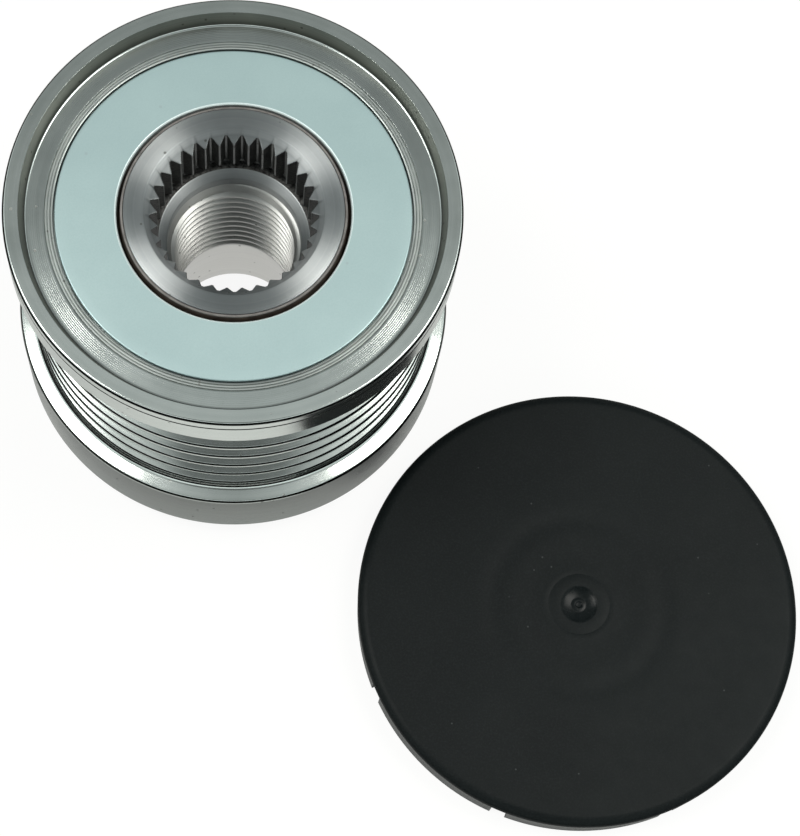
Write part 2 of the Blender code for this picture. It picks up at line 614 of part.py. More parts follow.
def cap_profile():
    """The cap's section, from the dimple at its middle out over the edge and back inside."""
    top = CAP_DEPTH + CAP_TOP
    bead = CAP_INNER_RADIUS - CAP_BEAD
    return [(0.0, top - CAP_DIMPLE_DEPTH),
            (CAP_DIMPLE_RADIUS * math.sqrt(0.5), top - 0.5 * CAP_DIMPLE_DEPTH),
            (CAP_DIMPLE_RADIUS, top),
            (CAP_WAVE_RADIUS, top - CAP_WAVE_DEPTH),
            (0.5 * (CAP_WAVE_RADIUS + CAP_RADIUS), top),
            (CAP_RADIUS - CAP_EDGE, top),
            (CAP_RADIUS - ARC_MIDDLE * CAP_EDGE, top - ARC_MIDDLE * CAP_EDGE),
            (CAP_RADIUS, top - CAP_EDGE),
            (CAP_RADIUS, CAP_DEPTH),
            (CAP_SKIRT_RADIUS, CAP_DEPTH - CAP_LIP),
            (CAP_SKIRT_RADIUS, 0.0),
            (CAP_INNER_RADIUS, 0.0),
            (CAP_INNER_RADIUS, CAP_BEAD_HEIGHT - CAP_BEAD),
            (bead, CAP_BEAD_HEIGHT),
            (CAP_INNER_RADIUS, CAP_BEAD_HEIGHT + CAP_BEAD),
            (CAP_INNER_RADIUS, CAP_DEPTH),
            (0.0, CAP_DEPTH)]


def make_cap(look):
    """The moulded cap, lying on its open end, its skirt slotted into snap fingers."""
    place = (CAP_DISTANCE * math.cos(CAP_DIRECTION), CAP_DISTANCE * math.sin(CAP_DIRECTION), 0.0)
    stand = add_axis("cap_place", place)
    mesh = turned_mesh("cap", cap_profile(), RING_SEGMENTS, closed=False)
    cap = add_object("cap", mesh, look, stand)
    bm = bmesh.new()
    size = (3.0 * CAP_WALL, CAP_SLOT_WIDTH, 2.0 * (CAP_DEPTH - 2.0 * CAP_LIP))
    middle = 0.5 * (CAP_INNER_RADIUS + CAP_SKIRT_RADIUS)
    add_boxes(bm, CAP_SLOTS, CAP_SLOT_PHASE, middle, size, 0.0)
    cut(cap, "cap_slots", bm, stand)


def main():
    """Build the pulley and its cap."""
    clear_scene()
    ring_steel = material("ring_steel", (0.42, 0.44, 0.43), 0.32, 1.0)
    hub_steel = material("hub_steel", (0.30, 0.31, 0.32), 0.34, 1.0)
    race_steel = material("race_steel", (0.50, 0.51, 0.52), 0.20, 1.0)
    plated = material("plated_steel", (0.62, 0.70, 0.71), 0.42, 0.85)
    seal_steel = material("seal_steel", (0.38, 0.39, 0.39), 0.40, 1.0)
    rubber = material("seal_rubber", (0.10, 0.06, 0.04), 0.70, 0.0)
    nylon = material("cage_nylon", (0.16, 0.15, 0.13), 0.55, 0.0)
    spring_steel = material("spring_steel", (0.45, 0.46, 0.48), 0.28, 1.0)
    plastic = material("cap_plastic", (0.020, 0.023, 0.025), 0.48, 0.0)

    pulley_axis = add_axis("pulley_axis")
    make_pulley_ring(ring_steel, pulley_axis)
    make_race_sleeve(race_steel, pulley_axis)
    make_front_disc(plated, pulley_axis)
    make_front_seal(rubber, pulley_axis)
    make_rear_seal(seal_steel, rubber, pulley_axis)

    make_hub(hub_steel)
    make_rear_race(race_steel)
    make_ramp_ring(race_steel)
    make_clutch_cage(nylon)
    make_clutch_springs(spring_steel)
    make_clutch_rollers(race_steel)
    make_bearing("front", nylon, race_steel, FRONT_CAGE_BOTTOM)
    make_bearing("rear", nylon, race_steel, REAR_CAGE_BOTTOM)
    make_cap(plastic)


main()
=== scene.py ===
# %% [markdown]
# # An overrunning alternator pulley
# The object is a small steel pulley, 54 mm across, with a one-way clutch inside and a black dust cap
# lying beside it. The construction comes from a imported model, the frame: every piece already has its
# real size and place. This lesson only makes the looks. Each piece that shows is turned again with
# many more steps, real fillets and real threads, and each one gets a procedural finish.

# %% Load the frame
import math

import bmesh
import bpy
from mathutils import Matrix, Vector


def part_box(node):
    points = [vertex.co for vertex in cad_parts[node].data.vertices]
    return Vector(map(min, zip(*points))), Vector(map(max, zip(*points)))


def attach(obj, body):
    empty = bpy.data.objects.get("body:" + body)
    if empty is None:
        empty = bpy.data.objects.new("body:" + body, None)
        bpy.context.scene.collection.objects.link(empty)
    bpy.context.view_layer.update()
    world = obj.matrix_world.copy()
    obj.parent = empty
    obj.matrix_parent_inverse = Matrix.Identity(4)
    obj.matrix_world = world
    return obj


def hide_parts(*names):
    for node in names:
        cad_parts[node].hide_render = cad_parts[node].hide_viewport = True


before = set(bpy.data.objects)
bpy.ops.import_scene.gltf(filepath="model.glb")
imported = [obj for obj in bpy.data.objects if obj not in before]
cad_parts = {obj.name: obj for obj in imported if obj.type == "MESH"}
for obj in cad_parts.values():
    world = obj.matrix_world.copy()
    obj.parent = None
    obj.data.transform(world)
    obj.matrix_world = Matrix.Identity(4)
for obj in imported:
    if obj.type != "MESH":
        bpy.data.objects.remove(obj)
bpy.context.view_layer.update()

# %% [markdown]
# ## The camera
# The photograph looks down on the pulley from about 23 degrees off the vertical, close enough for the
# near wall to spread below the rim. The camera's place and angles were solved from the circles of the
# pulley itself, so they are exact values and not a "look at" guess.

# %% Camera
CAMERA_PLACE = Vector((0.0, -0.10486, 0.28932))
CAMERA_ANGLES = (math.radians(17.914), math.radians(-3.831), math.radians(-1.391))
CAMERA_LENS = 99.9      # for a sensor 36 mm long

lens = bpy.data.cameras.new("photo_camera")
lens.lens = CAMERA_LENS
lens.sensor_width = 36.0
lens.clip_start = 0.01
lens.clip_end = 10.0
camera = bpy.data.objects.new("photo_camera", lens)
camera.location = CAMERA_PLACE
camera.rotation_euler = CAMERA_ANGLES
bpy.context.scene.collection.objects.link(camera)
bpy.context.scene.camera = camera
bpy.context.scene.view_settings.view_transform = "Standard"
print("camera is", round(camera.location.length, 3), "m from the shaft's foot")

# %% [markdown]
# ## Node helpers
# Every finish below is a small tree of shader nodes. A helper adds one node and links its inputs, so
# that a material reads as a recipe. Patterns read Object coordinates: the objects sit at the origin,
# so these are metres in the pulley's own frame.

# %% Node helpers
def add_node(tree, kind, inputs=(), **settings):
    """Add a node, set its properties, and link or set its inputs by name or number."""
    node = tree.nodes.new(kind)
    for name, value in settings.items():
        setattr(node, name, value)
    for name, value in dict(inputs).items():
        socket = node.inputs[name]
        if isinstance(value, bpy.types.NodeSocket):
            tree.links.new(value, socket)
        else:
            socket.default_value = value
    return node


def calculate(tree, operation, first, second=0.0, third=0.0):
    """One Math node."""
    node = add_node(tree, "ShaderNodeMath", {0: first, 1: second, 2: third}, operation=operation)
    return node.outputs[0]


def remap(tree, value, low, high, to_low=0.0, to_high=1.0):
    """A clamped Map Range from low..high to to_low..to_high."""
    node = add_node(tree, "ShaderNodeMapRange",
                    {"Value": value, "From Min": low, "From Max": high,
                     "To Min": to_low, "To Max": to_high})
    return node.outputs["Result"]


def noise(tree, vector, scale, detail=2.0, roughness=0.5):
    """Smooth noise between 0 and 1."""
    node = add_node(tree, "ShaderNodeTexNoise",
                    {"Vector": vector, "Scale": scale, "Detail": detail, "Roughness": roughness})
    return node.outputs["Fac"]


def mix_colours(tree, factor, first, second):
    """Mix two colours by a factor."""
    node = tree.nodes.new("ShaderNodeMix")
    node.data_type = "RGBA"
    for socket, value in ((node.inputs[0], factor), (node.inputs[6], first), (node.inputs[7], second)):
        if isinstance(value, bpy.types.NodeSocket):
            tree.links.new(value, socket)
        elif socket == node.inputs[0]:
            socket.default_value = value
        else:
            socket.default_value = (*value, 1.0)
    return node.outputs[2]


def add_bump(tree, height, strength, distance, normal=None):
    """Bend the shading normal by a height map."""
    inputs = {"Height": height, "Strength": strength, "Distance": distance}
    if normal is not None:
        inputs["Normal"] = normal
    return add_node(tree, "ShaderNodeBump", inputs).outputs["Normal"]


def new_material(name, metallic, roughness, preview):
    """A material with its Principled shader, set to what is the same all over."""
    made = bpy.data.materials.new(name)
    made.use_nodes = True
    made.diffuse_color = (*preview, 1.0)
    shader = made.node_tree.nodes["Principled BSDF"]
    shader.inputs["Metallic"].default_value = metallic
    shader.inputs["Roughness"].default_value = roughness
    shader.inputs["Base Color"].default_value = (*preview, 1.0)
    return made, made.node_tree, shader


def link_finish(tree, shader, colour, rough, normal):
    """Link a finish's colour, roughness and bent normal to its shader."""
    tree.links.new(colour, shader.inputs["Base Color"])
    tree.links.new(rough, shader.inputs["Roughness"])
    tree.links.new(normal, shader.inputs["Normal"])


print("node helpers ready")

# %% [markdown]
# ## Coordinates of a lathe
# A turned surface carries circles round the axis, and what changes from one circle to the next is how
# far along the tool has moved. So the marks are noise that reads only the radius and the height of a
# point. On a face the radius changes, on a wall the height does, and on a cone both do.

# %% Lathe coordinates
def squeezed_position(tree, share):
    """Object position squeezed along the axis, which stretches or shortens a pattern that way."""
    position = add_node(tree, "ShaderNodeTexCoord").outputs["Object"]
    squeezed = add_node(tree, "ShaderNodeMapping", {"Vector": position, "Scale": (1.0, 1.0, share)})
    return squeezed.outputs["Vector"]


def lathe_space(tree, centre=(0.0, 0.0)):
    """Object position about an axis, the radius, the height, and (radius, 0, height) for marks."""
    position = add_node(tree, "ShaderNodeTexCoord").outputs["Object"]
    if centre != (0.0, 0.0):
        shift = add_node(tree, "ShaderNodeMapping", {"Vector": position})
        shift.inputs["Location"].default_value = (-centre[0], -centre[1], 0.0)
        position = shift.outputs["Vector"]
    split = add_node(tree, "ShaderNodeSeparateXYZ", {0: position})
    flat = add_node(tree, "ShaderNodeCombineXYZ", {"X": split.outputs["X"], "Y": split.outputs["Y"]})
    radius = add_node(tree, "ShaderNodeVectorMath", {0: flat.outputs[0]}, operation="LENGTH")
    radius = radius.outputs["Value"]
    height = split.outputs["Z"]
    marks = add_node(tree, "ShaderNodeCombineXYZ", {"X": radius, "Z": height}).outputs[0]
    return position, radius, height, marks


print("lathe coordinates ready")

# %% [markdown]
# ## The studio
# The photograph is a product shot: a white table, two soft boxes high on the left and right, a bright
# front and a dull grey ceiling. Bare steel is a mirror, so that room is most of its look. It is built
# here as a tent, a dome round the table that the camera doesn't see, whose glow depends on direction.
# The floor shines plain white to the camera, dimmer in reflections, and keeps a faint shadow. Steel
# mirrors it only as far as a sheet of paper reaches, which is what darkens the foot of the pulley.

# %% Floor
FLOOR_HALF = 0.17
FLOOR_STRENGTH = 1.04
FLOOR_GLOW = 0.88        # the share of the floor's white that no shadow dims
MIRRORED_GLOW = 0.22     # the same for the floor as steel mirrors it
BORE_GLOW = 0.8          # and for the part that shows in the wall of the bore
BORE_REACH = 0.0095
BORE_FADE = 0.003
SHEET_REACH = 0.085      # beyond this the room is dark, as steel mirrors it
SHEET_FADE = 0.02
PAPER = (0.66, 0.66, 0.645)
BLACK = (0.0, 0.0, 0.0)


def make_floor_material():
    """Pale matt paper, which shows as white to the camera, in metal and through glass."""
    made = bpy.data.materials.new("white_table")
    made.use_nodes = True
    tree = made.node_tree
    tree.nodes.clear()
    glow = add_node(tree, "ShaderNodeEmission",
                    {"Color": (1.0, 1.0, 0.995, 1.0), "Strength": FLOOR_STRENGTH})
    rays = add_node(tree, "ShaderNodeLightPath")
    direct = calculate(tree, "MAXIMUM", rays.outputs["Is Camera Ray"], rays.outputs["Is Transmission Ray"])
    place = add_node(tree, "ShaderNodeTexCoord").outputs["Object"]
    reach = add_node(tree, "ShaderNodeVectorMath", {0: place}, operation="LENGTH").outputs["Value"]
    seen = remap(tree, reach, BORE_REACH, BORE_REACH + BORE_FADE, BORE_GLOW, MIRRORED_GLOW)
    sheet = remap(tree, reach, SHEET_REACH, SHEET_REACH + SHEET_FADE, 1.0, 0.0)
    seen = calculate(tree, "MULTIPLY", seen, sheet)
    mirrored = calculate(tree, "MULTIPLY", rays.outputs["Is Glossy Ray"], seen)
    share = calculate(tree, "MULTIPLY_ADD", direct, FLOOR_GLOW, mirrored)
    beyond = remap(tree, reach, SHEET_REACH, SHEET_REACH + SHEET_FADE)
    dark = calculate(tree, "MULTIPLY", rays.outputs["Is Glossy Ray"], beyond)
    colour = mix_colours(tree, dark, PAPER, BLACK)
    paper = add_node(tree, "ShaderNodeBsdfDiffuse", {"Color": colour})
    both = add_node(tree, "ShaderNodeMixShader", {0: share, 1: paper.outputs[0], 2: glow.outputs[0]})
    add_node(tree, "ShaderNodeOutputMaterial", {"Surface": both.outputs[0]})
    return made


def make_floor():
    """One large square under the pulley."""
    bm = bmesh.new()
    bmesh.ops.create_grid(bm, x_segments=1, y_segments=1, size=FLOOR_HALF)
    mesh = bpy.data.meshes.new("white_table")
    bm.to_mesh(mesh)
    bm.free()
    mesh.materials.append(make_floor_material())
    floor = bpy.data.objects.new("white_table", mesh)
    bpy.context.scene.collection.objects.link(floor)


make_floor()
print("floor is", 2.0 * FLOOR_HALF, "m wide")

# %% [markdown]
# The tent's glow is a recipe on the direction from the table: a bright band in front, two bright
# sides, a duller ceiling behind, and a dark oval overhead where the camera stands. Towards the horizon
# it fades to almost nothing, which gives the turned walls their dark parts.

# %% Tent
TENT_RADIUS = 1.6
TENT_FOOT = -0.4
CEILING = 0.36           # glow of the dull ceiling behind
OVERHEAD = 0.62          # glow of the white board above the table and in front of it
FRONT_GLOW = 0.75        # added low in front
SIDE_GLOW = 0.60         # added on the left and right
DARK_ROOM = 0.02         # what is left near the horizon
CAMERA_SHADE = 0.26      # share of the glow left where the camera stands
# where each part starts and is full, as shares of the way in front, aside or up
OVERHEAD_EDGE = (-0.365, -0.305)
FRONT_EDGE = (0.60, 0.74)
SIDE_EDGE = (0.46, 0.66)
HORIZON = (0.30, 0.42)
SHADE_EDGE = (0.75, 1.15)
SHADE_SHIFT = (0.0, 0.49, 0.0)
SHADE_SCALE = (3.3, 3.3, 0.0)


def make_tent_material():
    """A glow that depends on where a point of the dome is: dark low down, bright in front."""
    made = bpy.data.materials.new("light_tent")
    made.use_nodes = True
    tree = made.node_tree
    tree.nodes.clear()
    place = add_node(tree, "ShaderNodeTexCoord").outputs["Object"]
    way = add_node(tree, "ShaderNodeVectorMath", {0: place}, operation="NORMALIZE").outputs["Vector"]
    split = add_node(tree, "ShaderNodeSeparateXYZ", {0: way})
    up = split.outputs["Z"]
    across = calculate(tree, "ABSOLUTE", split.outputs["X"])
    ahead = calculate(tree, "MULTIPLY", split.outputs["Y"], -1.0)
    glow = remap(tree, ahead, *OVERHEAD_EDGE, CEILING, OVERHEAD)
    front = calculate(tree, "MULTIPLY", remap(tree, ahead, *FRONT_EDGE), FRONT_GLOW)
    side = calculate(tree, "MULTIPLY", remap(tree, across, *SIDE_EDGE), SIDE_GLOW)
    glow = calculate(tree, "ADD", glow, calculate(tree, "MAXIMUM", front, side))
    shift = add_node(tree, "ShaderNodeVectorMath", {0: way, 1: SHADE_SHIFT}, operation="ADD")
    oval = add_node(tree, "ShaderNodeVectorMath", {0: shift.outputs["Vector"], 1: SHADE_SCALE},
                    operation="MULTIPLY")
    reach = add_node(tree, "ShaderNodeVectorMath", {0: oval.outputs["Vector"]}, operation="LENGTH")
    shade = remap(tree, reach.outputs["Value"], *SHADE_EDGE, CAMERA_SHADE, 1.0)
    glow = calculate(tree, "MULTIPLY", glow, shade)
    risen = remap(tree, up, *HORIZON)
    glow = calculate(tree, "MULTIPLY_ADD", glow, risen, DARK_ROOM)
    light = add_node(tree, "ShaderNodeEmission", {"Color": (0.93, 1.0, 0.985, 1.0), "Strength": glow})
    add_node(tree, "ShaderNodeOutputMaterial", {"Surface": light.outputs[0]})
    return made


def make_tent():
    """A dome round the table, cut off below it, that the camera doesn't see."""
    bm = bmesh.new()
    bmesh.ops.create_uvsphere(bm, u_segments=48, v_segments=24, radius=TENT_RADIUS)
    bmesh.ops.bisect_plane(bm, geom=bm.verts[:] + bm.edges[:] + bm.faces[:], dist=1e-5,
                           plane_co=(0.0, 0.0, TENT_FOOT), plane_no=(0.0, 0.0, 1.0), clear_inner=True)
    mesh = bpy.data.meshes.new("light_tent")
    bm.to_mesh(mesh)
    bm.free()
    mesh.materials.append(make_tent_material())
    tent = bpy.data.objects.new("light_tent", mesh)
    tent.visible_camera = False
    bpy.context.scene.collection.objects.link(tent)


make_tent()
world = bpy.data.worlds.new("white_room")
world.use_nodes = True
world.node_tree.nodes["Background"].inputs["Color"].default_value = (1.0, 1.0, 1.0, 1.0)
world.node_tree.nodes["Background"].inputs["Strength"].default_value = 1.0
bpy.context.scene.world = world
print("tent radius", TENT_RADIUS, "m")

# %% [markdown]
# The two soft boxes are square area lamps, high on the left and right and slightly warm against the
# tent. They draw the bright fans on the hub's face, and they throw the faint shadows on the table.

# %% Soft boxes
LAMP_DISTANCE = 0.95
LAMP_SIDE = 0.34
LAMP_POWER = 3.6


def make_soft_box(name, direction, colour):
    """A square soft box that faces the pulley."""
    light = bpy.data.lights.new(name, "AREA")
    light.shape = "SQUARE"
    light.size = LAMP_SIDE
    light.energy = LAMP_POWER
    light.color = colour
    lamp = bpy.data.objects.new(name, light)
    lamp.location = Vector(direction).normalized() * LAMP_DISTANCE
    lamp.rotation_euler = Vector(direction).to_track_quat("Z", "Y").to_euler()
    lamp.visible_camera = False
    bpy.context.scene.collection.objects.link(lamp)
    return lamp


make_soft_box("left_soft_box", (-0.43, 0.03, 0.90), (1.0, 0.985, 0.94))
make_soft_box("right_soft_box", (0.43, 0.03, 0.90), (1.0, 0.98, 0.925))
print("two soft boxes", LAMP_DISTANCE, "m away")

# %% [markdown]
# ## Turning a section
# Most of this object came off a lathe, so one helper makes most of it. A section is a wire of corner
# points in the XZ plane. A vertex bevel rounds its corners, one bevel for each fillet size, and a full
# spin turns it into a shell. Weighted normals then keep the flats flat beside the small fillets, and
# they are baked in, so that no modifier stays live.

# %% Turning helpers
FINE_STEPS = 256
SHARP_ANGLE = math.radians(32.0)
LARGE_FILLET = 0.00025      # above this a fillet gets eight segments


def round_corners(bm, corners):
    """Vertex bevels on a wire: corners is a list of (vertex, fillet)."""
    for fillet in sorted({fillet for _, fillet in corners if fillet > 0.0}):
        group = [vertex for vertex, size in corners if size == fillet]
        bmesh.ops.bevel(bm, geom=group, offset=fillet, offset_type="OFFSET",
                        segments=8 if fillet > LARGE_FILLET else 4,
                        profile=0.5, affect="VERTICES", material=-1, clamp_overlap=True)


def wire_section(bm, points, closed=True):
    """A wire through (radius, height, fillet) points, with its corners rounded."""
    verts = [bm.verts.new((radius, 0.0, height)) for radius, height, _ in points]
    for pair in zip(verts, verts[1:]):
        bm.edges.new(pair)
    if closed:
        bm.edges.new((verts[-1], verts[0]))
    round_corners(bm, list(zip(verts, [fillet for _, _, fillet in points])))


def spin_wire(bm, steps):
    """Turn all of a wire round the shaft's axis into a shell."""
    bmesh.ops.spin(bm, geom=bm.verts[:] + bm.edges[:], cent=(0.0, 0.0, 0.0), axis=(0.0, 0.0, 1.0),
                   angle=2.0 * math.pi, steps=steps, use_merge=True)
    bmesh.ops.remove_doubles(bm, verts=bm.verts, dist=1e-6)


def settle(piece):
    """Bake the piece's modifiers into its mesh, so that none stays live."""
    graph = bpy.context.evaluated_depsgraph_get()
    mesh = bpy.data.meshes.new_from_object(piece.evaluated_get(graph))
    mesh.name = piece.name
    piece.modifiers.clear()
    piece.data = mesh
    return piece


def finish_piece(name, bm, finishes):
    """Close the mesh, shade it, bake weighted normals and give it its finishes."""
    bmesh.ops.recalc_face_normals(bm, faces=bm.faces)
    mesh = bpy.data.meshes.new(name)
    bm.to_mesh(mesh)
    bm.free()
    mesh.shade_smooth()
    mesh.set_sharp_from_angle(angle=SHARP_ANGLE)
    for finish in finishes:
        mesh.materials.append(finish)
    piece = bpy.data.objects.new(name, mesh)
    bpy.context.scene.collection.objects.link(piece)
    weighted = piece.modifiers.new("weighted", "WEIGHTED_NORMAL")
    weighted.keep_sharp = True
    settle(piece)
    print(name, "has", len(piece.data.polygons), "faces")
    return piece


def turn_piece(name, points, finishes, choose_finish=None):
    """Spin a closed section into a piece, and let a function choose the finish of each face."""
    bm = bmesh.new()
    wire_section(bm, points)
    spin_wire(bm, FINE_STEPS)
    if choose_finish:
        bmesh.ops.recalc_face_normals(bm, faces=bm.faces)
        for face in bm.faces:
            face.material_index = choose_finish(face)
    return finish_piece(name, bm, finishes)


def place_piece(piece, body, slot, *nodes):
    """Let the piece ride on a body and stand for its CAD nodes."""
    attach(piece, body)
    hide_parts(*nodes)
    return piece


print("turning helpers ready")

# %% [markdown]
# ## Turned steel
# The ring is free-cutting steel straight from the lathe, with a thin film of oil. Three things make
# that look. Fine random circles bend the normal. The roughness changes from circle to circle, because
# the tool cut some cleaner than others. And the highlight is stretched across the circles, which the
# shader's anisotropy does with a tangent that runs round the axis. Small pits and specks break it up.

# %% Turned steel
def speckle(tree, position, scale, size, share):
    """Sparse round specks: a share of Voronoi cells, each a dot of the given size."""
    cells = add_node(tree, "ShaderNodeTexVoronoi", {"Vector": position, "Scale": scale})
    chosen = add_node(tree, "ShaderNodeSeparateColor", {0: cells.outputs["Color"]}).outputs[0]
    dot = remap(tree, cells.outputs["Distance"], size, 0.6 * size)
    return calculate(tree, "MULTIPLY", dot, remap(tree, chosen, share, 0.9 * share))


def make_turned_steel(name, light, dark, roughness, stretch, mark_depth, specks):
    """Lathe-turned metal between a light and a dark tone."""
    made, tree, shader = new_material(name, 1.0, roughness, light)
    position, _, _, marks = lathe_space(tree)
    fine = noise(tree, marks, 9000.0, 3.0, 0.7)
    broad = noise(tree, marks, 1400.0, 2.0, 0.5)
    patch = noise(tree, position, 120.0, 4.0, 0.6)
    tone = calculate(tree, "MULTIPLY_ADD", broad, 0.5, calculate(tree, "MULTIPLY", patch, 0.5))
    colour = mix_colours(tree, remap(tree, tone, 0.35, 0.65), dark, light)
    dots = speckle(tree, position, 1500.0, 0.3, specks)
    colour = mix_colours(tree, calculate(tree, "MULTIPLY", dots, 0.6), colour, (0.09, 0.09, 0.08))
    rough = calculate(tree, "ADD", remap(tree, fine, 0.3, 0.7, -0.05, 0.05),
                      remap(tree, patch, 0.3, 0.7, roughness - 0.03, roughness + 0.04))
    rough = calculate(tree, "MULTIPLY_ADD", dots, 0.25, rough)
    shader.inputs["Anisotropic"].default_value = stretch
    shader.inputs["Anisotropic Rotation"].default_value = 0.25
    round_axis = add_node(tree, "ShaderNodeTangent", direction_type="RADIAL", axis="Z")
    tree.links.new(round_axis.outputs[0], shader.inputs["Tangent"])
    relief = add_bump(tree, fine, 0.5, mark_depth)
    relief = add_bump(tree, broad, 0.4, 2.0 * mark_depth, relief)
    relief = add_bump(tree, calculate(tree, "SUBTRACT", 1.0, dots), 0.5, 0.000005, relief)
    link_finish(tree, shader, colour, rough, relief)
    return made


RING_LIGHT = (0.585, 0.62, 0.60)
RING_DARK = (0.50, 0.535, 0.515)
ring_steel = make_turned_steel("ring_steel", RING_LIGHT, RING_DARK, 0.15, 0.2, 0.000002, 0.03)
print("turned steel for the ring")

# %% [markdown]
# ## The pulley ring
# One steel turning holds all of the outside: the deep rear flange, six V-grooves, the front flange
# with the fine snap groove of the cap, and a recess whose rolled lip holds the front disc. The recess
# has a tapered wall and a floor ridged by the tool's feed, and each outer edge is broken by a steep
# facet, painted near black to make the dark line, a painted reflection, that outlines a turned edge.
# The section follows from the flange radius and the ring's height, which come from the frame.

# %% Section of the ring
ring_low, ring_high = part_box("pulley_ring")
FLANGE_RADIUS = ring_high.x
RING_FOOT = ring_low.z
RIM_TOP = ring_high.z

GROOVE_COUNT = 6
GROOVE_PITCH = 0.00356
GROOVE_DEPTH = 0.00295
GROOVE_TILT = math.radians(20.0)
RIB_LAND = 0.0007
FLANGE_HEIGHT = 0.0021
FRONT_FLANGE_HEIGHT = 0.0016
REAR_FLANGE_LENGTH = 0.01035
SHOULDER_HEIGHT = 0.00169
SHOULDER_RISE = 0.00042  # from the rear flange's edge in to the ribs
SNAP_GROOVE_RISE = 0.0042
SNAP_GROOVE_HALF = 0.00014
RIM_CROWN = 0.00035
RIM_WIDTH = 0.00185
FRONT_FLANGE_LENGTH = 0.0056
RECESS_DEPTH = 0.00195
RECESS_TAPER = 0.00062   # how far the recess's wall comes in from its mouth to its foot
LIP_WIDTH = 0.00100
LIP_GROOVES = ((LIP_WIDTH, 0.00012), (0.00068, 0.00010), (0.00034, 0.00012))  # place and depth
EDGE_WIDTH = 0.00024     # every outer edge is broken by a steep facet of this width
EDGE_FALL = 0.00036      # and this height
FEED = 0.00022           # how far the tool moved in a turn on the recess floor
FEED_TILT = math.radians(7.4)
SEAT_GAP = 0.0003
REAR_SEAL_DEPTH = 0.0026
RIB_RADIUS = FLANGE_RADIUS - FLANGE_HEIGHT
GROOVE_ROOT = RIB_RADIUS - GROOVE_DEPTH
FRONT_RADIUS = RIB_RADIUS + FRONT_FLANGE_HEIGHT
RECESS_RADIUS = FRONT_RADIUS - RIM_WIDTH
SEAT_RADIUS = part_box("front_disc")[1].x + 0.00012
SEAT_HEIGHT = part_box("front_disc")[0].z - 0.0002
BORE_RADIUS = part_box("race_sleeve")[1].x + SEAT_GAP
REAR_FLANGE_TOP = RING_FOOT + REAR_FLANGE_LENGTH
GROOVE_BASE = REAR_FLANGE_TOP + SHOULDER_HEIGHT
GROOVE_TOP = GROOVE_BASE + GROOVE_COUNT * GROOVE_PITCH - RIB_LAND
RIM_EDGE = RIM_TOP - RIM_CROWN
FLANGE_FOOT = RIM_EDGE - FRONT_FLANGE_LENGTH
RECESS_FLOOR = RIM_TOP - RECESS_DEPTH


def rear_flange():
    """The rear flange's wall, its edges, the shoulder and the hollow that runs up to the ribs."""
    return [(FLANGE_RADIUS, RING_FOOT, 0.0003),
            (FLANGE_RADIUS, REAR_FLANGE_TOP - EDGE_FALL, 0.00008),
            (FLANGE_RADIUS - EDGE_WIDTH, REAR_FLANGE_TOP, 0.00008),
            (RIB_RADIUS, REAR_FLANGE_TOP + SHOULDER_RISE, 0.0006),
            (RIB_RADIUS, GROOVE_BASE - 0.0004, 0.0)]


def grooves():
    """The V-grooves with their rounded rib tips and groove bottoms."""
    flank = GROOVE_DEPTH * math.tan(GROOVE_TILT)
    mouth = GROOVE_PITCH - RIB_LAND
    points = []
    for index in range(GROOVE_COUNT):
        base = GROOVE_BASE + index * GROOVE_PITCH
        points += [(RIB_RADIUS, base - 0.7 * EDGE_FALL, 0.00005),
                   (RIB_RADIUS - 0.7 * EDGE_WIDTH, base, 0.00005),
                   (GROOVE_ROOT, base + flank, 0.0002),
                   (GROOVE_ROOT, base + mouth - flank, 0.0002),
                   (RIB_RADIUS, base + mouth, 0.00028)]
    return points


def front_flange():
    """The coned underside, the wall with its snap groove, the edge and the crowned rim face."""
    snap = FLANGE_FOOT + SNAP_GROOVE_RISE
    return [(RIB_RADIUS, GROOVE_TOP + 0.5 * RIB_LAND, 0.0002),
            (FRONT_RADIUS - 0.0003, FLANGE_FOOT, 0.0001),
            (FRONT_RADIUS, FLANGE_FOOT + 0.0003, 0.0001),
            (FRONT_RADIUS - 0.00004, snap - SNAP_GROOVE_HALF, 0.00004),
            (FRONT_RADIUS - 0.00018, snap, 0.0),
            (FRONT_RADIUS - 0.00006, snap + SNAP_GROOVE_HALF, 0.00004),
            (FRONT_RADIUS - 0.00004, RIM_TOP - EDGE_FALL, 0.00006),
            (FRONT_RADIUS - 0.00004 - EDGE_WIDTH, RIM_TOP - 0.00001, 0.00014),
            (RECESS_RADIUS, RIM_TOP, 0.00001)]


def feed_ridges(outer, inner, height):
    """The ridges that the tool's feed leaves on a floor: each falls outwards, then runs flat."""
    drop = 0.5 * FEED * math.tan(FEED_TILT)
    points = []
    for index in range(int((outer - inner) / FEED)):
        radius = outer - index * FEED
        points += [(radius, height - drop, 0.0),
                   (radius - 0.5 * FEED, height, 0.0),
                   (radius - 0.95 * FEED, height, 0.0)]
    return points


def front_recess():
    """The recess's tapered wall and ridged floor, and the rolled lip with its three fine grooves."""
    foot = RECESS_RADIUS - RECESS_TAPER
    points = [(foot, RECESS_FLOOR, 0.00018)]
    points += feed_ridges(foot - 0.0003, SEAT_RADIUS + LIP_WIDTH + 0.0001, RECESS_FLOOR)
    for place, depth in LIP_GROOVES:
        radius = SEAT_RADIUS + place
        points += [(radius + 0.00006, RECESS_FLOOR, 0.00001),
                   (radius, RECESS_FLOOR - depth, 0.0),
                   (radius - 0.00007, RECESS_FLOOR, 0.00002)]
    return points + [(SEAT_RADIUS + 0.00006, RECESS_FLOOR - 0.00003, 0.00005),
                     (SEAT_RADIUS, RECESS_FLOOR - 0.0003, 0.0),
                     (SEAT_RADIUS, SEAT_HEIGHT, 0.0),
                     (BORE_RADIUS, SEAT_HEIGHT, 0.0001)]


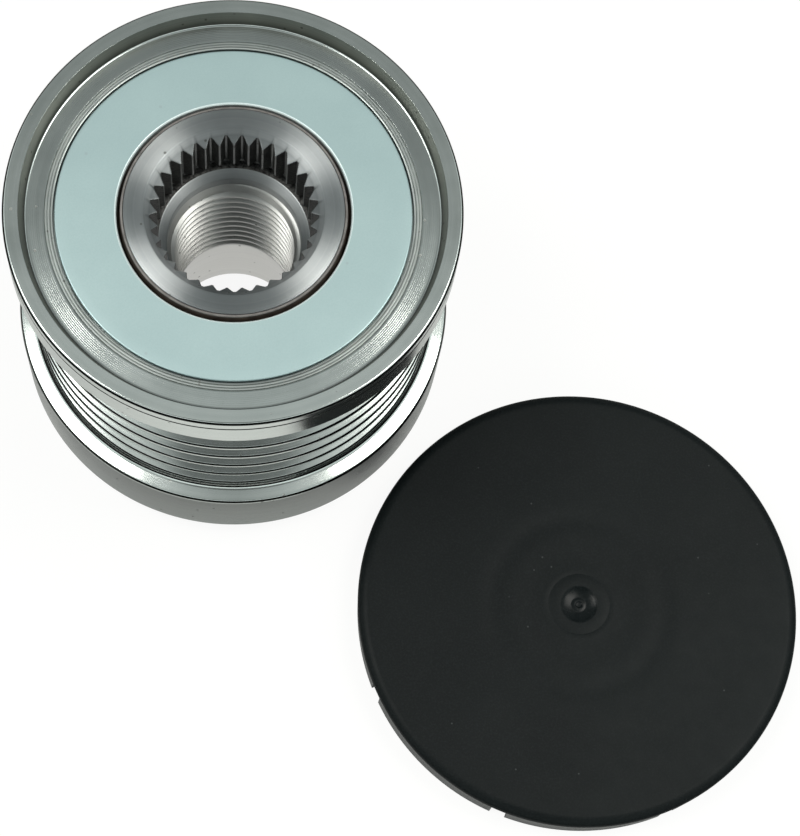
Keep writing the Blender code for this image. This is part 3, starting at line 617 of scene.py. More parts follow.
def rear_counterbore():
    """The bore, and the counterbore that holds the rear seal."""
    seat = RING_FOOT + REAR_SEAL_DEPTH
    return [(BORE_RADIUS, seat, 0.0001),
            (SEAT_RADIUS, seat, 0.0001),
            (SEAT_RADIUS, RING_FOOT, 0.0002)]


print("ribs at radius", round(1000 * RIB_RADIUS, 2), "mm, grooves down to", round(1000 * GROOVE_ROOT, 2))

# %% [markdown]
# One turning still has several finishes. The boring tool left the recess's wall rough, and painted
# shade darkens it towards its foot. The broken edges are painted near black, a painted reflection of
# the dark line round a turned edge. The rolled lip is soft, and the rear flange's wall is painted
# darker, a painted shade for the shaded table it mirrors. Each is the same recipe with other values.
# A mesh can carry many materials, so the place and the tilt of each face choose one of them.

# %% Ring finishes
def tint_by_height(made, low, high, low_tint, high_tint):
    """Multiply a finish's colour by a tint that changes from a low place to a high one."""
    tree = made.node_tree
    socket = tree.nodes["Principled BSDF"].inputs["Base Color"]
    colour = socket.links[0].from_socket
    share = remap(tree, lathe_space(tree)[2], low, high)
    tint = mix_colours(tree, share, low_tint, high_tint)
    film = add_node(tree, "ShaderNodeVectorMath", {0: colour, 1: tint}, operation="MULTIPLY")
    tree.links.new(film.outputs["Vector"], socket)
    return made


def make_wall_steel():
    """The rear flange's wall: painted darker than the rest as painted shade for the shaded table it
    mirrors, darkest towards its upper edge.
    """
    # Painted shade: these dark tones and the tint below stand for the shaded table that the wall mirrors.
    made = make_turned_steel("painted_shade_wall_steel", (0.18, 0.20, 0.19), (0.135, 0.15, 0.143), 0.22, 0.3,
                             0.000002, 0.03)
    return tint_by_height(made, RING_FOOT + 0.0010, REAR_FLANGE_TOP - 0.0015,
                          (1.0, 1.0, 1.0), (0.34, 0.37, 0.35))


def make_taper_steel():
    """The recess's wall: left rough by the boring tool, with painted shade that darkens it towards its
    foot.
    """
    made = make_turned_steel("painted_shade_taper_steel", (0.26, 0.265, 0.24), (0.18, 0.185, 0.17), 0.46, 0.0,
                             0.000004, 0.10)
    # Painted shade in the recess: this tint darkens the wall towards its foot.
    return tint_by_height(made, RECESS_FLOOR + 0.0001, RIM_TOP - 0.0003,
                          (0.35, 0.35, 0.33), (1.0, 1.0, 0.98))


def make_edge_steel():
    """The broken edges: hardly polished, and painted near black as a painted reflection of the dark line
    round a turned edge.
    """
    # Painted reflection: the near-black colour stands for the dark line that a turned edge mirrors.
    return make_turned_steel("painted_dark_edge_steel", (0.05, 0.052, 0.05), (0.03, 0.032, 0.03), 0.25, 0.0,
                             0.000001, 0.05)


def make_floor_steel():
    """The recess's floor, a little duller than the rim."""
    return make_turned_steel("floor_steel", (0.50, 0.535, 0.52), (0.43, 0.46, 0.445), 0.17, 0.3,
                             0.000002, 0.03)


def make_rib_steel():
    """The ribs, turned with a form tool that left the flanks a little rougher."""
    return make_turned_steel("rib_steel", RING_LIGHT, RING_DARK, 0.19, 0.45, 0.000002, 0.03)


def make_lip_steel():
    """The rolled lip: darker and softer than the rest of the ring."""
    return make_turned_steel("lip_steel", (0.46, 0.49, 0.475), (0.34, 0.365, 0.355), 0.32, 0.2,
                             0.000002, 0.10)


RING_FINISHES = [ring_steel, make_wall_steel(), make_taper_steel(), make_edge_steel(),
                 make_floor_steel(), make_lip_steel(), make_rib_steel()]
PLAIN, SHADED_WALL, TAPER, EDGE, FLOOR, LIP, RIBS = range(len(RING_FINISHES))
print("the ring has", len(RING_FINISHES), "finishes")

# %% Turn the ring
def choose_recess_finish(radius, height):
    """Number of the finish in the recess: its wall, its floor or the lip."""
    if radius > RECESS_RADIUS - RECESS_TAPER - 0.00005:
        return TAPER if RECESS_FLOOR + 0.00008 < height < RIM_TOP - 0.00005 else PLAIN
    return FLOOR if radius > SEAT_RADIUS + LIP_WIDTH else LIP


def choose_ring_finish(face):
    """Number of the finish for a face of the ring, from where it is and how it tilts."""
    middle = face.calc_center_median()
    radius = math.hypot(middle.x, middle.y)
    if SEAT_RADIUS < radius < RECESS_RADIUS and middle.z > SEAT_HEIGHT:
        return choose_recess_finish(radius, middle.z)
    # Steep facets on the outer edges get the painted dark edge finish.
    if radius > RIB_RADIUS - 2.0 * EDGE_WIDTH and 0.45 < face.normal.z < 0.75:
        return EDGE
    if radius > GROOVE_ROOT - 0.00005 and GROOVE_BASE < middle.z < FLANGE_FOOT:
        return RIBS
    return SHADED_WALL if radius > FLANGE_RADIUS - 0.00005 and middle.z < REAR_FLANGE_TOP - 0.0005 else PLAIN


def make_ring():
    """Spin the ring's section, outside first and then back through the bore."""
    points = rear_flange() + grooves() + front_flange() + front_recess() + rear_counterbore()
    return turn_piece("turned_ring", points, RING_FINISHES, choose_ring_finish)


place_piece(make_ring(), "pulley", "ring_steel", "pulley_ring")

# %% [markdown]
# ## The front disc
# The seal's cover is stamped from sheet steel and zinc plated with a pale blue passivate. Plating
# hides the sheet's own grain, so the look is satin and nearly without marks, with a fine mottle and a
# few specks. The outer border is bent down where the lip was rolled over it, and the inner border is
# rolled, with a painted highlight along it. A shader that is only partly metallic keeps the colour
# steady as the light moves.

# %% Zinc plate
DISC_GAP = 0.00078       # from the hub to the disc's inner edge
DISC_CROWN = 0.00018
DISC_BORDER = 0.0008     # the outer border that the rolling tool bent down


def disc_radii():
    """Radii of the disc's outer and inner edges."""
    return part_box("front_disc")[1].x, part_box("hub")[1].x + DISC_GAP


def make_zinc_plate():
    """Satin zinc with a pale blue cast, burnished at the two borders, with a painted highlight on the
    inner one.
    """
    made, tree, shader = new_material("blue_zinc", 0.3, 0.45, (0.30, 0.41, 0.42))
    shader.inputs["Coat Weight"].default_value = 0.6
    shader.inputs["Coat Roughness"].default_value = 0.22
    position, radius, _, _ = lathe_space(tree)
    cloud = noise(tree, position, 90.0, 4.0, 0.6)
    grain = noise(tree, position, 5200.0, 2.0, 0.6)
    mottle = remap(tree, cloud, 0.3, 0.7)
    colour = mix_colours(tree, mottle, (0.285, 0.385, 0.392), (0.315, 0.42, 0.425))
    colour = mix_colours(tree, remap(tree, grain, 0.35, 0.75, 0.0, 0.15), colour, (0.20, 0.28, 0.29))
    dots = speckle(tree, position, 700.0, 0.16, 0.05)
    colour = mix_colours(tree, calculate(tree, "MULTIPLY", dots, 0.5), colour, (0.25, 0.30, 0.31))
    outer, inner = disc_radii()
    bent = remap(tree, radius, outer - 0.00025, outer - 0.0001)
    rolled = remap(tree, radius, inner + 0.00024, inner + 0.00018)
    border = calculate(tree, "MAXIMUM", bent, rolled)
    # Painted highlight: the inner edge's colour is mixed towards a pale tone.
    colour = mix_colours(tree, calculate(tree, "MULTIPLY", rolled, 0.8), colour, (0.80, 0.90, 0.90))
    tree.links.new(calculate(tree, "MULTIPLY_ADD", bent, 0.45, 0.3), shader.inputs["Metallic"])
    rough = calculate(tree, "MULTIPLY_ADD", border, -0.16, remap(tree, grain, 0.3, 0.7, 0.42, 0.52))
    link_finish(tree, shader, colour, rough, add_bump(tree, grain, 0.25, 0.000004))
    return made


def make_disc():
    """The crowned sheet disc with its bent border and rolled inner edge."""
    low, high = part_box("front_disc")
    outer, inner = disc_radii()
    foot = low.z
    top = high.z
    flat = top - DISC_CROWN
    points = [(inner, foot, 0.0001),
              (outer, foot, 0.0001),
              (outer, flat - 0.00016, 0.00006),
              (outer - 0.00008, flat - 0.00006, 0.00006),
              (outer - DISC_BORDER, flat, 0.0006),
              (inner + 0.00017, top, 0.00005),
              (inner, top - 0.00017, 0.00003),
              (inner, top - 0.0003, 0.0)]
    return turn_piece("plated_disc", points, [make_zinc_plate()])


place_piece(make_disc(), "pulley", "plated_steel", "front_disc")

# %% [markdown]
# ## Seals
# In the gap between the disc and the hub shows the front seal: a brown washer whose thin lip stands up
# round the hub nearly to its face, rubbed grey there. At the rear, a pressed steel case fills the
# counterbore and holds a rubber lip against the hub. Both seals are turned like the ring, because they
# are round, and rubber needs only a dull shader with a little dust.

# %% Seal materials
def make_seal_rubber():
    """Moulded brown nitrile rubber, slightly dusty and oily."""
    made, tree, shader = new_material("brown_rubber", 0.0, 0.55, (0.03, 0.02, 0.015))
    position, _, _, marks = lathe_space(tree)
    dust = noise(tree, position, 700.0, 4.0, 0.6)
    rings = noise(tree, marks, 4000.0, 2.0, 0.5)
    colour = mix_colours(tree, remap(tree, dust, 0.4, 0.75), (0.022, 0.014, 0.010), (0.06, 0.042, 0.03))
    rough = remap(tree, dust, 0.3, 0.7, 0.42, 0.68)
    link_finish(tree, shader, colour, rough, add_bump(tree, rings, 0.4, 0.00001))
    return made


def make_lip_rubber():
    """The rubber of the raised lip, rubbed grey by the hub."""
    made, tree, shader = new_material("lip_rubber", 0.0, 0.4, (0.12, 0.11, 0.105))
    position = lathe_space(tree)[0]
    rub = noise(tree, position, 900.0, 3.0, 0.6)
    colour = mix_colours(tree, remap(tree, rub, 0.3, 0.7), (0.09, 0.082, 0.078), (0.17, 0.158, 0.15))
    rough = remap(tree, rub, 0.3, 0.7, 0.32, 0.48)
    link_finish(tree, shader, colour, rough, add_bump(tree, rub, 0.3, 0.00001))
    return made


def make_pressed_sheet():
    """Pressed steel sheet with faint drawing marks round the axis."""
    return make_turned_steel("pressed_sheet", (0.46, 0.47, 0.46), (0.36, 0.37, 0.365), 0.34, 0.3,
                             0.000003, 0.10)


seal_rubber = make_seal_rubber()
lip_rubber = make_lip_rubber()
pressed_sheet = make_pressed_sheet()
print("seal materials ready")

# %% Seal pieces
def make_front_seal():
    """The front seal washer, with the lip that stands up round the hub nearly to its face."""
    low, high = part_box("front_seal")
    hub_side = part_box("hub")[1].x + 0.00006
    lip_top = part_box("hub")[1].z - 0.00012
    lip_side = hub_side + 0.00028
    points = [(lip_side + 0.0006, low.z, 0.0001),
              (high.x, low.z, 0.0001),
              (high.x, high.z, 0.0001),
              (lip_side + 0.0002, high.z, 0.00015),
              (lip_side, lip_top - 0.0002, 0.0),
              (lip_side - 0.00003, lip_top, 0.00006),
              (hub_side, lip_top, 0.00004),
              (hub_side, high.z - 0.0003, 0.0)]

    def choose_rubber(face):
        """The second finish on the upper half millimetre, the first one below it."""
        return 1 if face.calc_center_median().z > lip_top - 0.0005 else 0

    return turn_piece("front_seal_lip", points, [seal_rubber, lip_rubber], choose_rubber)


def make_rear_case():
    """The rear seal's case: an L of sheet with rounded bends."""
    low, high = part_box("rear_seal_case")
    sheet = 0.0007
    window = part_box("rear_seal_lip")[1].x + 0.0003
    points = [(high.x - sheet, low.z, 0.00015),
              (high.x, low.z, 0.00015),
              (high.x, high.z, 0.0004),
              (window, high.z, 0.0001),
              (window, high.z - sheet, 0.0001),
              (high.x - sheet, high.z - sheet, 0.0003)]
    return turn_piece("pressed_case", points, [pressed_sheet])


def make_rear_lip():
    """The rear rubber lip, with a waist where it bends."""
    low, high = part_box("rear_seal_lip")
    race_step = 0.00156     # from the hub's tube out to the race
    running_gap = 0.00025
    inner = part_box("rear_race")[1].x - race_step + running_gap
    outer = high.x
    middle = 0.5 * (inner + outer)
    points = [(inner, low.z + 0.0001, 0.00008),
              (inner + 0.00025, low.z, 0.00008),
              (middle, low.z + 0.0002, 0.0003),
              (outer, high.z - 0.0007, 0.0001),
              (outer, high.z, 0.0001),
              (middle, high.z, 0.0002)]
    return turn_piece("rubber_lip", points, [seal_rubber])


place_piece(make_front_seal(), "pulley", "seal_rubber", "front_seal")
place_piece(make_rear_case(), "pulley", "seal_steel", "rear_seal_case")
place_piece(make_rear_lip(), "pulley", "seal_rubber", "rear_seal_lip")

# %% [markdown]
# ## The hub
# The hub is a hardened tube. From the front end it has a wide ground cone and face, an internal spline
# of 33 teeth for the tightening tool, a relief groove, a lead-in, a fine right-hand thread and a plain
# bore. The spline is made on the spun shell: the spin has sixteen steps a tooth, and each vertex of the
# bore wall is pushed out to the tooth form there, but never inside the lead-in cone.

# %% Hub sizes
hub_low, hub_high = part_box("hub")
HUB_RADIUS = hub_high.x
HUB_FACE = hub_high.z
THREAD_MAJOR = 0.0080
THREAD_PITCH = 0.0015
THREAD_TURNS = 12
THREAD_DEPTH = 0.5413 * THREAD_PITCH
THREAD_MINOR = THREAD_MAJOR - THREAD_DEPTH
SPLINE_TEETH = 33
STEPS_PER_TOOTH = 16
FLAT_SHARE = 0.0625      # half the width of a root or a crest, in tooth pitches
TOOTH_ROOT = THREAD_MAJOR + 0.00178
TOOTH_CREST = TOOTH_ROOT - 0.00082
SPLINE_PHASE = math.radians(-2.73)
CONE_RADIUS = TOOTH_ROOT + 0.00072
CONE_SLOPE = 1.1         # fall for each unit inwards
MOUTH_TOP = HUB_FACE - CONE_SLOPE * (CONE_RADIUS - TOOTH_ROOT)
MOUTH_FOOT = HUB_FACE - CONE_SLOPE * (CONE_RADIUS - TOOTH_CREST)
SPLINE_END = HUB_FACE - 0.0073
RELIEF_END = SPLINE_END - 0.0011
LEAD_IN_END = RELIEF_END - 0.00105
THREAD_START = LEAD_IN_END - 0.0014
THREAD_END = THREAD_START - THREAD_TURNS * THREAD_PITCH
REAR_BORE = THREAD_MAJOR + 0.0005
TUBE_RADIUS = REAR_BORE + 0.0027
HUB_STEP = HUB_FACE - 0.01228
THREAD_OVERLAP = 0.00006
print("hub", round(1000 * (HUB_FACE - hub_low.z), 2), "mm long, thread", THREAD_TURNS, "turns")

# %% Hub shell with its spline
def mouth_radius(height):
    """The cone's radius at a height between the crests and the roots of the teeth."""
    share = (height - MOUTH_FOOT) / (MOUTH_TOP - MOUTH_FOOT)
    return TOOTH_CREST + (TOOTH_ROOT - TOOTH_CREST) * share


def tooth_radius(angle):
    """The bore's radius at an angle: a narrow root, straight flanks and a narrow crest."""
    turn = (angle - SPLINE_PHASE) * SPLINE_TEETH / (2.0 * math.pi)
    across = abs(turn - round(turn))
    share = min(max((across - FLAT_SHARE) / (0.5 - 2.0 * FLAT_SHARE), 0.0), 1.0)
    return TOOTH_ROOT - (TOOTH_ROOT - TOOTH_CREST) * share


def hub_section():
    """The hub's section without the threaded stretch, as an open wire."""
    rows = 14
    mouth = [(TOOTH_CREST, MOUTH_FOOT + (MOUTH_TOP - MOUTH_FOOT) * row / rows, 0.0)
             for row in range(rows + 1)]
    wall = [(TOOTH_CREST, SPLINE_END + (MOUTH_FOOT - SPLINE_END) * row / 3.0, 0.0) for row in range(3)]
    relief = TOOTH_ROOT + 0.0004
    return ([(THREAD_MAJOR, THREAD_START, 0.0),
             (THREAD_MAJOR, LEAD_IN_END, 0.00012),
             (TOOTH_CREST - 0.00008, RELIEF_END, 0.00008),
             (relief, RELIEF_END, 0.0003),
             (relief, SPLINE_END, 0.0)]
            + wall + mouth
            + [(CONE_RADIUS, HUB_FACE, 0.00006),
               (HUB_RADIUS, HUB_FACE, 0.00011),
               (HUB_RADIUS, HUB_STEP, 0.0001),
               (TUBE_RADIUS, HUB_STEP, 0.0002),
               (TUBE_RADIUS, 0.0004, 0.0001),
               (TUBE_RADIUS - 0.0003, 0.0, 0.0001),
               (REAR_BORE + 0.00035, 0.0, 0.0001),
               (REAR_BORE, 0.0004, 0.0001),
               (REAR_BORE, THREAD_END - THREAD_DEPTH, 0.0)])


def cut_spline(bm):
    """Push the vertices of the bore wall out to the teeth, or to the cone where that is wider."""
    margin = 1e-6
    for vertex in bm.verts:
        radius = math.hypot(vertex.co.x, vertex.co.y)
        if SPLINE_END - margin < vertex.co.z < HUB_FACE - 0.0001 and radius < TOOTH_CREST + margin:
            angle = math.atan2(vertex.co.y, vertex.co.x)
            target = max(tooth_radius(angle), mouth_radius(vertex.co.z))
            vertex.co.x *= target / radius
            vertex.co.y *= target / radius


print("a tooth every", round(360.0 / SPLINE_TEETH, 2), "degrees")

# %% [markdown]
# The thread is a helix, so its grid has to be one too: a straight grid would cut across the crests and
# make them ragged. A vertical wire is spun once round while it rises by one pitch. Its last column
# then meets its first one, one turn up, and merging doubles closes the seam. Two flat cuts square the
# ends, and each vertex moves out to the thread form or to the chamfer, whichever is wider.

# %% Thread
THREAD_STEPS = 132
CREST_SHARE = 0.25      # of the pitch, as on a standard nut thread
FLANK_SHARE = 0.3125


def thread_radius(phase):
    """The nut thread's radius at a phase of its pitch."""
    if phase < CREST_SHARE:
        return THREAD_MINOR
    rise = (phase - CREST_SHARE) / FLANK_SHARE
    fall = (1.0 - phase) / FLANK_SHARE
    return THREAD_MINOR + THREAD_DEPTH * min(rise, fall, 1.0)


def helix_wall(low, high):
    """A bore wall whose rows climb by a pitch each turn, cut square at two heights."""
    phases = [0.0, 0.125, CREST_SHARE, 0.33, 0.41, 0.49, CREST_SHARE + FLANK_SHARE, 1.0 - FLANK_SHARE,
              0.76, 0.84, 0.92]
    first = math.floor(low / THREAD_PITCH) - 1
    last = math.ceil(high / THREAD_PITCH)
    bm = bmesh.new()
    heights = [(turn + phase) * THREAD_PITCH for turn in range(first, last + 1) for phase in phases]
    line = [bm.verts.new((THREAD_MAJOR, 0.0, height)) for height in heights]
    for pair in zip(line, line[1:]):
        bm.edges.new(pair)
    bmesh.ops.spin(bm, geom=bm.verts[:] + bm.edges[:], cent=(0.0, 0.0, 0.0), axis=(0.0, 0.0, 1.0),
                   dvec=(0.0, 0.0, THREAD_PITCH / THREAD_STEPS), angle=2.0 * math.pi,
                   steps=THREAD_STEPS)
    bmesh.ops.remove_doubles(bm, verts=bm.verts, dist=1e-6)
    for height, way in ((low, -1.0), (high, 1.0)):
        bmesh.ops.bisect_plane(bm, geom=bm.verts[:] + bm.edges[:] + bm.faces[:], dist=1e-7,
                               plane_co=(0.0, 0.0, height), plane_no=(0.0, 0.0, way), clear_outer=True)
    return bm


def thread_wall():
    """The threaded stretch of the bore, open at both ends."""
    bm = helix_wall(THREAD_END - THREAD_DEPTH + THREAD_OVERLAP, THREAD_START - THREAD_OVERLAP)
    for vertex in bm.verts:
        turn = math.atan2(vertex.co.y, vertex.co.x) / (2.0 * math.pi) % 1.0
        phase = (vertex.co.z / THREAD_PITCH - turn + 1e-4) % 1.0
        upper = THREAD_MAJOR - 0.7 * (THREAD_START - vertex.co.z)
        lower_share = (THREAD_END - vertex.co.z) / THREAD_DEPTH
        lower = THREAD_MINOR + (REAR_BORE - THREAD_MINOR) * lower_share
        target = max(thread_radius(phase), upper, lower)
        scale = target / math.hypot(vertex.co.x, vertex.co.y)
        vertex.co.x *= scale
        vertex.co.y *= scale
    return bm


print("thread depth", round(1000 * THREAD_DEPTH, 3), "mm")

# %% [markdown]
# Hardened steel is darker and bluer than the ring's. The face was ground in circles, which gives it
# the four soft fans of light of a pan's bottom, and the broached teeth are rough and dull, with their
# dark colour a painted shade for the deep spline.

# %% Hub materials
hub_steel = make_turned_steel("hub_steel", (0.35, 0.365, 0.37), (0.24, 0.255, 0.26), 0.37, 1.0,
                              0.000008, 0.04)
thread_steel = make_turned_steel("thread_steel", (0.52, 0.525, 0.51), (0.43, 0.435, 0.425), 0.34, 0.92,
                                 0.000002, 0.03)
# The crests and roots: smoother steel, and painted less dark than the flanks' painted shade.
tooth_steel = make_turned_steel("tooth_steel", (0.20, 0.205, 0.205), (0.10, 0.105, 0.105), 0.34, 0.4,
                                0.000002, 0.10)
bore_steel = make_turned_steel("bore_steel", (0.60, 0.60, 0.57), (0.55, 0.55, 0.525), 0.34, 0.3,
                               0.000002, 0.06)


def make_broached_steel():
    """Dull steel with the coarse cross marks and torn specks that a broach leaves, painted near black as
    shade in the deep spline.
    """
    made, tree, shader = new_material("broached_and_shaded_steel", 1.0, 0.5, (0.08, 0.08, 0.08))
    torn = noise(tree, squeezed_position(tree, 2.6), 2200.0, 3.0, 0.65)
    # Painted shade: these near-black colours stand for the shade in the deep spline.
    colour = mix_colours(tree, remap(tree, torn, 0.35, 0.7), (0.03, 0.03, 0.03), (0.15, 0.15, 0.145))
    rough = remap(tree, torn, 0.3, 0.7, 0.38, 0.62)
    link_finish(tree, shader, colour, rough, add_bump(tree, torn, 0.9, 0.00005))
    return made


HUB_FINISHES = [hub_steel, thread_steel, bore_steel, make_broached_steel(), tooth_steel]
GROUND, THREADED, BORED, BROACHED_AND_SHADED, BURNISHED = range(len(HUB_FINISHES))
print("the hub has", len(HUB_FINISHES), "finishes")

# %% [markdown]
# The shell and the thread meet at two pairs of open loops, and a bridge closes each pair. A Boolean
# could join them too, but it would leave slivers along the helix. Then each face gets its finish from
# where it lies: face and cone ground, teeth torn by the broach and painted dark as shade, thread and
# bore bright.

# %% Join the hub
def boundary_loop(bm, height):
    """The open edges whose ends both lie at a height."""
    return [edge for edge in bm.edges if edge.is_boundary
            and all(abs(vertex.co.z - height) < 2e-6 for vertex in edge.verts)]


def choose_tooth_finish(middle, radius):
    """The cone keeps the hub's finish, crests and roots are brighter than the torn flanks, which carry the
    darkest painted shade.
    """
    if middle.z > MOUTH_FOOT and radius < mouth_radius(middle.z) + 0.00002:
        return GROUND
    narrow = radius < TOOTH_CREST + 0.00001 or TOOTH_ROOT - 0.00001 < radius < TOOTH_ROOT + 0.00001
    return BURNISHED if narrow and middle.z > SPLINE_END else BROACHED_AND_SHADED


def choose_hub_finish(face):
    """Number of the finish for a face of the hub: face, thread, plain bore or broached teeth."""
    middle = face.calc_center_median()
    radius = math.hypot(middle.x, middle.y)
    if middle.z < THREAD_END - 0.2 * THREAD_DEPTH and radius < REAR_BORE + 1e-5:
        return BORED
    if middle.z < THREAD_START and radius < REAR_BORE:
        return THREADED
    if RELIEF_END - 1e-6 < middle.z < MOUTH_TOP and radius < TOOTH_ROOT + 0.0005:
        return choose_tooth_finish(middle, radius)
    return GROUND


def make_hub():
    """Spin the shell, cut the spline, bridge the thread into it and choose each face's finish."""
    bm = bmesh.new()
    wire_section(bm, hub_section(), closed=False)
    spin_wire(bm, SPLINE_TEETH * STEPS_PER_TOOTH)
    cut_spline(bm)
    thread = thread_wall()
    sleeve = bpy.data.meshes.new("thread_wall")
    thread.to_mesh(sleeve)
    thread.free()
    bm.from_mesh(sleeve)
    bpy.data.meshes.remove(sleeve)
    low = THREAD_END - THREAD_DEPTH
    for shell_height, wall_height in ((low, low + THREAD_OVERLAP),
                                      (THREAD_START, THREAD_START - THREAD_OVERLAP)):
        loops = boundary_loop(bm, shell_height) + boundary_loop(bm, wall_height)
        bmesh.ops.bridge_loops(bm, edges=loops)
    open_edges = [edge for edge in bm.edges if not edge.is_manifold]
    print("hub has", len(open_edges), "open edges")
    bmesh.ops.recalc_face_normals(bm, faces=bm.faces)
    for face in bm.faces:
        face.material_index = choose_hub_finish(face)
    return finish_piece("splined_hub", bm, HUB_FINISHES)


place_piece(make_hub(), "hub", "hub_steel", "hub")

# %% [markdown]
# ## The cap
# The dust cap is moulded in black polypropylene. Its top is almost flat, with a shallow dimple and the
# gate's scar in the middle, a faint ejector circle, and soft sink marks over its slots. Its edge
# is rounded, and eight slots split the skirt into snap fingers. The section is spun at the origin, the
# slots are cut with a Boolean, and then the whole mesh is moved to where the cap lies.

# %% Cap sizes and plastic
cap_low, cap_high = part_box("cap")
CAP_CENTRE = 0.5 * (cap_low + cap_high)
CAP_RADIUS = 0.5 * (cap_high.x - cap_low.x)
CAP_TOP = cap_high.z
CAP_DEPTH = CAP_TOP - 0.0011
CAP_SKIRT = CAP_RADIUS - 0.00018
CAP_INNER = CAP_SKIRT - 0.00095
CAP_BEAD = 0.0005
CAP_BEAD_HEIGHT = CAP_DEPTH - 0.00175
CAP_SLOTS = 8
CAP_SLOT_PHASE = math.radians(21.9)
CAP_SLOT_WIDTH = 0.0020
DIMPLE_RADIUS = 0.0023
DIMPLE_DEPTH = 0.0004


def make_cap_plastic(name, shine):
    """Black polypropylene with a fine spark-eroded grain, and dust specks."""
    centre = (CAP_CENTRE.x, CAP_CENTRE.y)
    made, tree, shader = new_material(name, 0.0, 0.42, (0.0055, 0.0072, 0.0074))
    position, radius, _, _ = lathe_space(tree, centre)
    cloud = noise(tree, position, 60.0, 3.0, 0.5)
    grain = noise(tree, position, 4200.0, 3.0, 0.6)
    scuffs = noise(tree, position, 420.0, 5.0, 0.7)
    mottle = remap(tree, cloud, 0.3, 0.7)
    colour = mix_colours(tree, mottle, (0.0032, 0.0047, 0.0050), (0.0046, 0.0065, 0.0068))
    colour = mix_colours(tree, remap(tree, grain, 0.45, 0.75, 0.0, 0.5), colour, (0.012, 0.015, 0.0155))
    shader.inputs["Specular IOR Level"].default_value = shine
    dots = speckle(tree, position, 900.0, 0.12, 0.05)
    colour = mix_colours(tree, calculate(tree, "MULTIPLY", dots, 0.2), colour, (0.16, 0.17, 0.17))
    inside = remap(tree, radius, DIMPLE_RADIUS + 0.0001, DIMPLE_RADIUS - 0.0001)
    matt = calculate(tree, "ADD", remap(tree, scuffs, 0.35, 0.7, 0.44, 0.50),
                     remap(tree, grain, 0.3, 0.7, -0.03, 0.03))
    rough = calculate(tree, "MULTIPLY_ADD", inside, -0.22, matt)
    strength = calculate(tree, "MULTIPLY_ADD", inside, -0.3, 0.35)
    link_finish(tree, shader, colour, rough, add_bump(tree, grain, strength, 0.00001))
    return made


cap_plastic = make_cap_plastic("cap_plastic", 0.10)
skirt_plastic = make_cap_plastic("skirt_plastic", 0.9)
print("cap", round(2000 * CAP_RADIUS, 1), "mm across")

# %% Cap shape
TOP_START = 0.0046       # where the uneven part of the top begins
TOP_STEP = 0.0006
TOP_MARGIN = 0.0022      # and how far from the edge it ends


def hollow(radius, place, width, depth):
    """Depth of a soft round hollow, deepest at its place and about twice its width across."""
    return depth * math.exp(-((radius - place) / width) ** 2)


def top_height(radius):
    """Height of the cap's top, which has a narrow ring-shaped wave and a broad dish inside it."""
    return CAP_TOP - hollow(radius, 0.0110, 0.0013, 0.00008) - hollow(radius, 0.0062, 0.0022, 0.00006)


def cap_middle():
    """The middle of the top: the gate's scar, the dimple round it and the ejector circle."""
    scar = 0.00095
    floor_height = CAP_TOP - DIMPLE_DEPTH
    ejector = 0.0039
    return [(0.0, floor_height - 0.00004, 0.0),
            (0.0003, floor_height - 0.00004, 0.00005),
            (0.00045, floor_height + 0.00007, 0.00005),
            (0.0007, floor_height + 0.00006, 0.00005),
            (scar, floor_height + 0.00002, 0.0001),
            (0.0015, floor_height + 0.00010, 0.0002),
            (0.0020, floor_height + 0.00022, 0.00015),
            (DIMPLE_RADIUS - 0.00004, CAP_TOP - 0.00006, 0.00004),
            (DIMPLE_RADIUS + 0.00008, CAP_TOP, 0.00006),
            (ejector - 0.00004, CAP_TOP, 0.0),
            (ejector, CAP_TOP - 0.000012, 0.0),
            (ejector + 0.00004, CAP_TOP, 0.0)]


def cap_section():
    """The cap's section from the middle of its top, over the edge and back along the inside."""
    points = cap_middle()
    radius = TOP_START
    while radius < CAP_RADIUS - TOP_MARGIN:
        points.append((radius, top_height(radius), 0.0))
        radius += TOP_STEP
    points += [(CAP_RADIUS - 0.0016, CAP_TOP, 0.0),
               (CAP_RADIUS - 0.0009, CAP_TOP - 0.00001, 0.0004),
               (CAP_RADIUS, CAP_TOP - 0.0006, 0.0004),
               (CAP_RADIUS, CAP_DEPTH, 0.00006),
               (CAP_SKIRT, CAP_DEPTH - 0.00018, 0.00006),
               (CAP_SKIRT, 0.0, 0.00008),
               (CAP_INNER, 0.0, 0.0002),
               (CAP_INNER, CAP_BEAD_HEIGHT - CAP_BEAD, 0.0001),
               (CAP_INNER - CAP_BEAD, CAP_BEAD_HEIGHT, 0.0001),
               (CAP_INNER, CAP_BEAD_HEIGHT + CAP_BEAD, 0.0001),
               (CAP_INNER, CAP_DEPTH, 0.0004),
               (0.0, CAP_DEPTH, 0.0)]
    return points


def sink_marks(bm):
    """Eight soft hollows in the top, less deep than a hair is thick."""
    for vertex in bm.verts:
        radius = math.hypot(vertex.co.x, vertex.co.y)
        if vertex.co.z > CAP_TOP - 0.0001 and 0.004 < radius < CAP_RADIUS - 0.0015:
            angle = math.atan2(vertex.co.y, vertex.co.x) - CAP_SLOT_PHASE
            depth = hollow(radius, 0.0190, 0.0035, 0.00005)
            vertex.co.z -= depth * (0.5 + 0.5 * math.cos(CAP_SLOTS * angle))


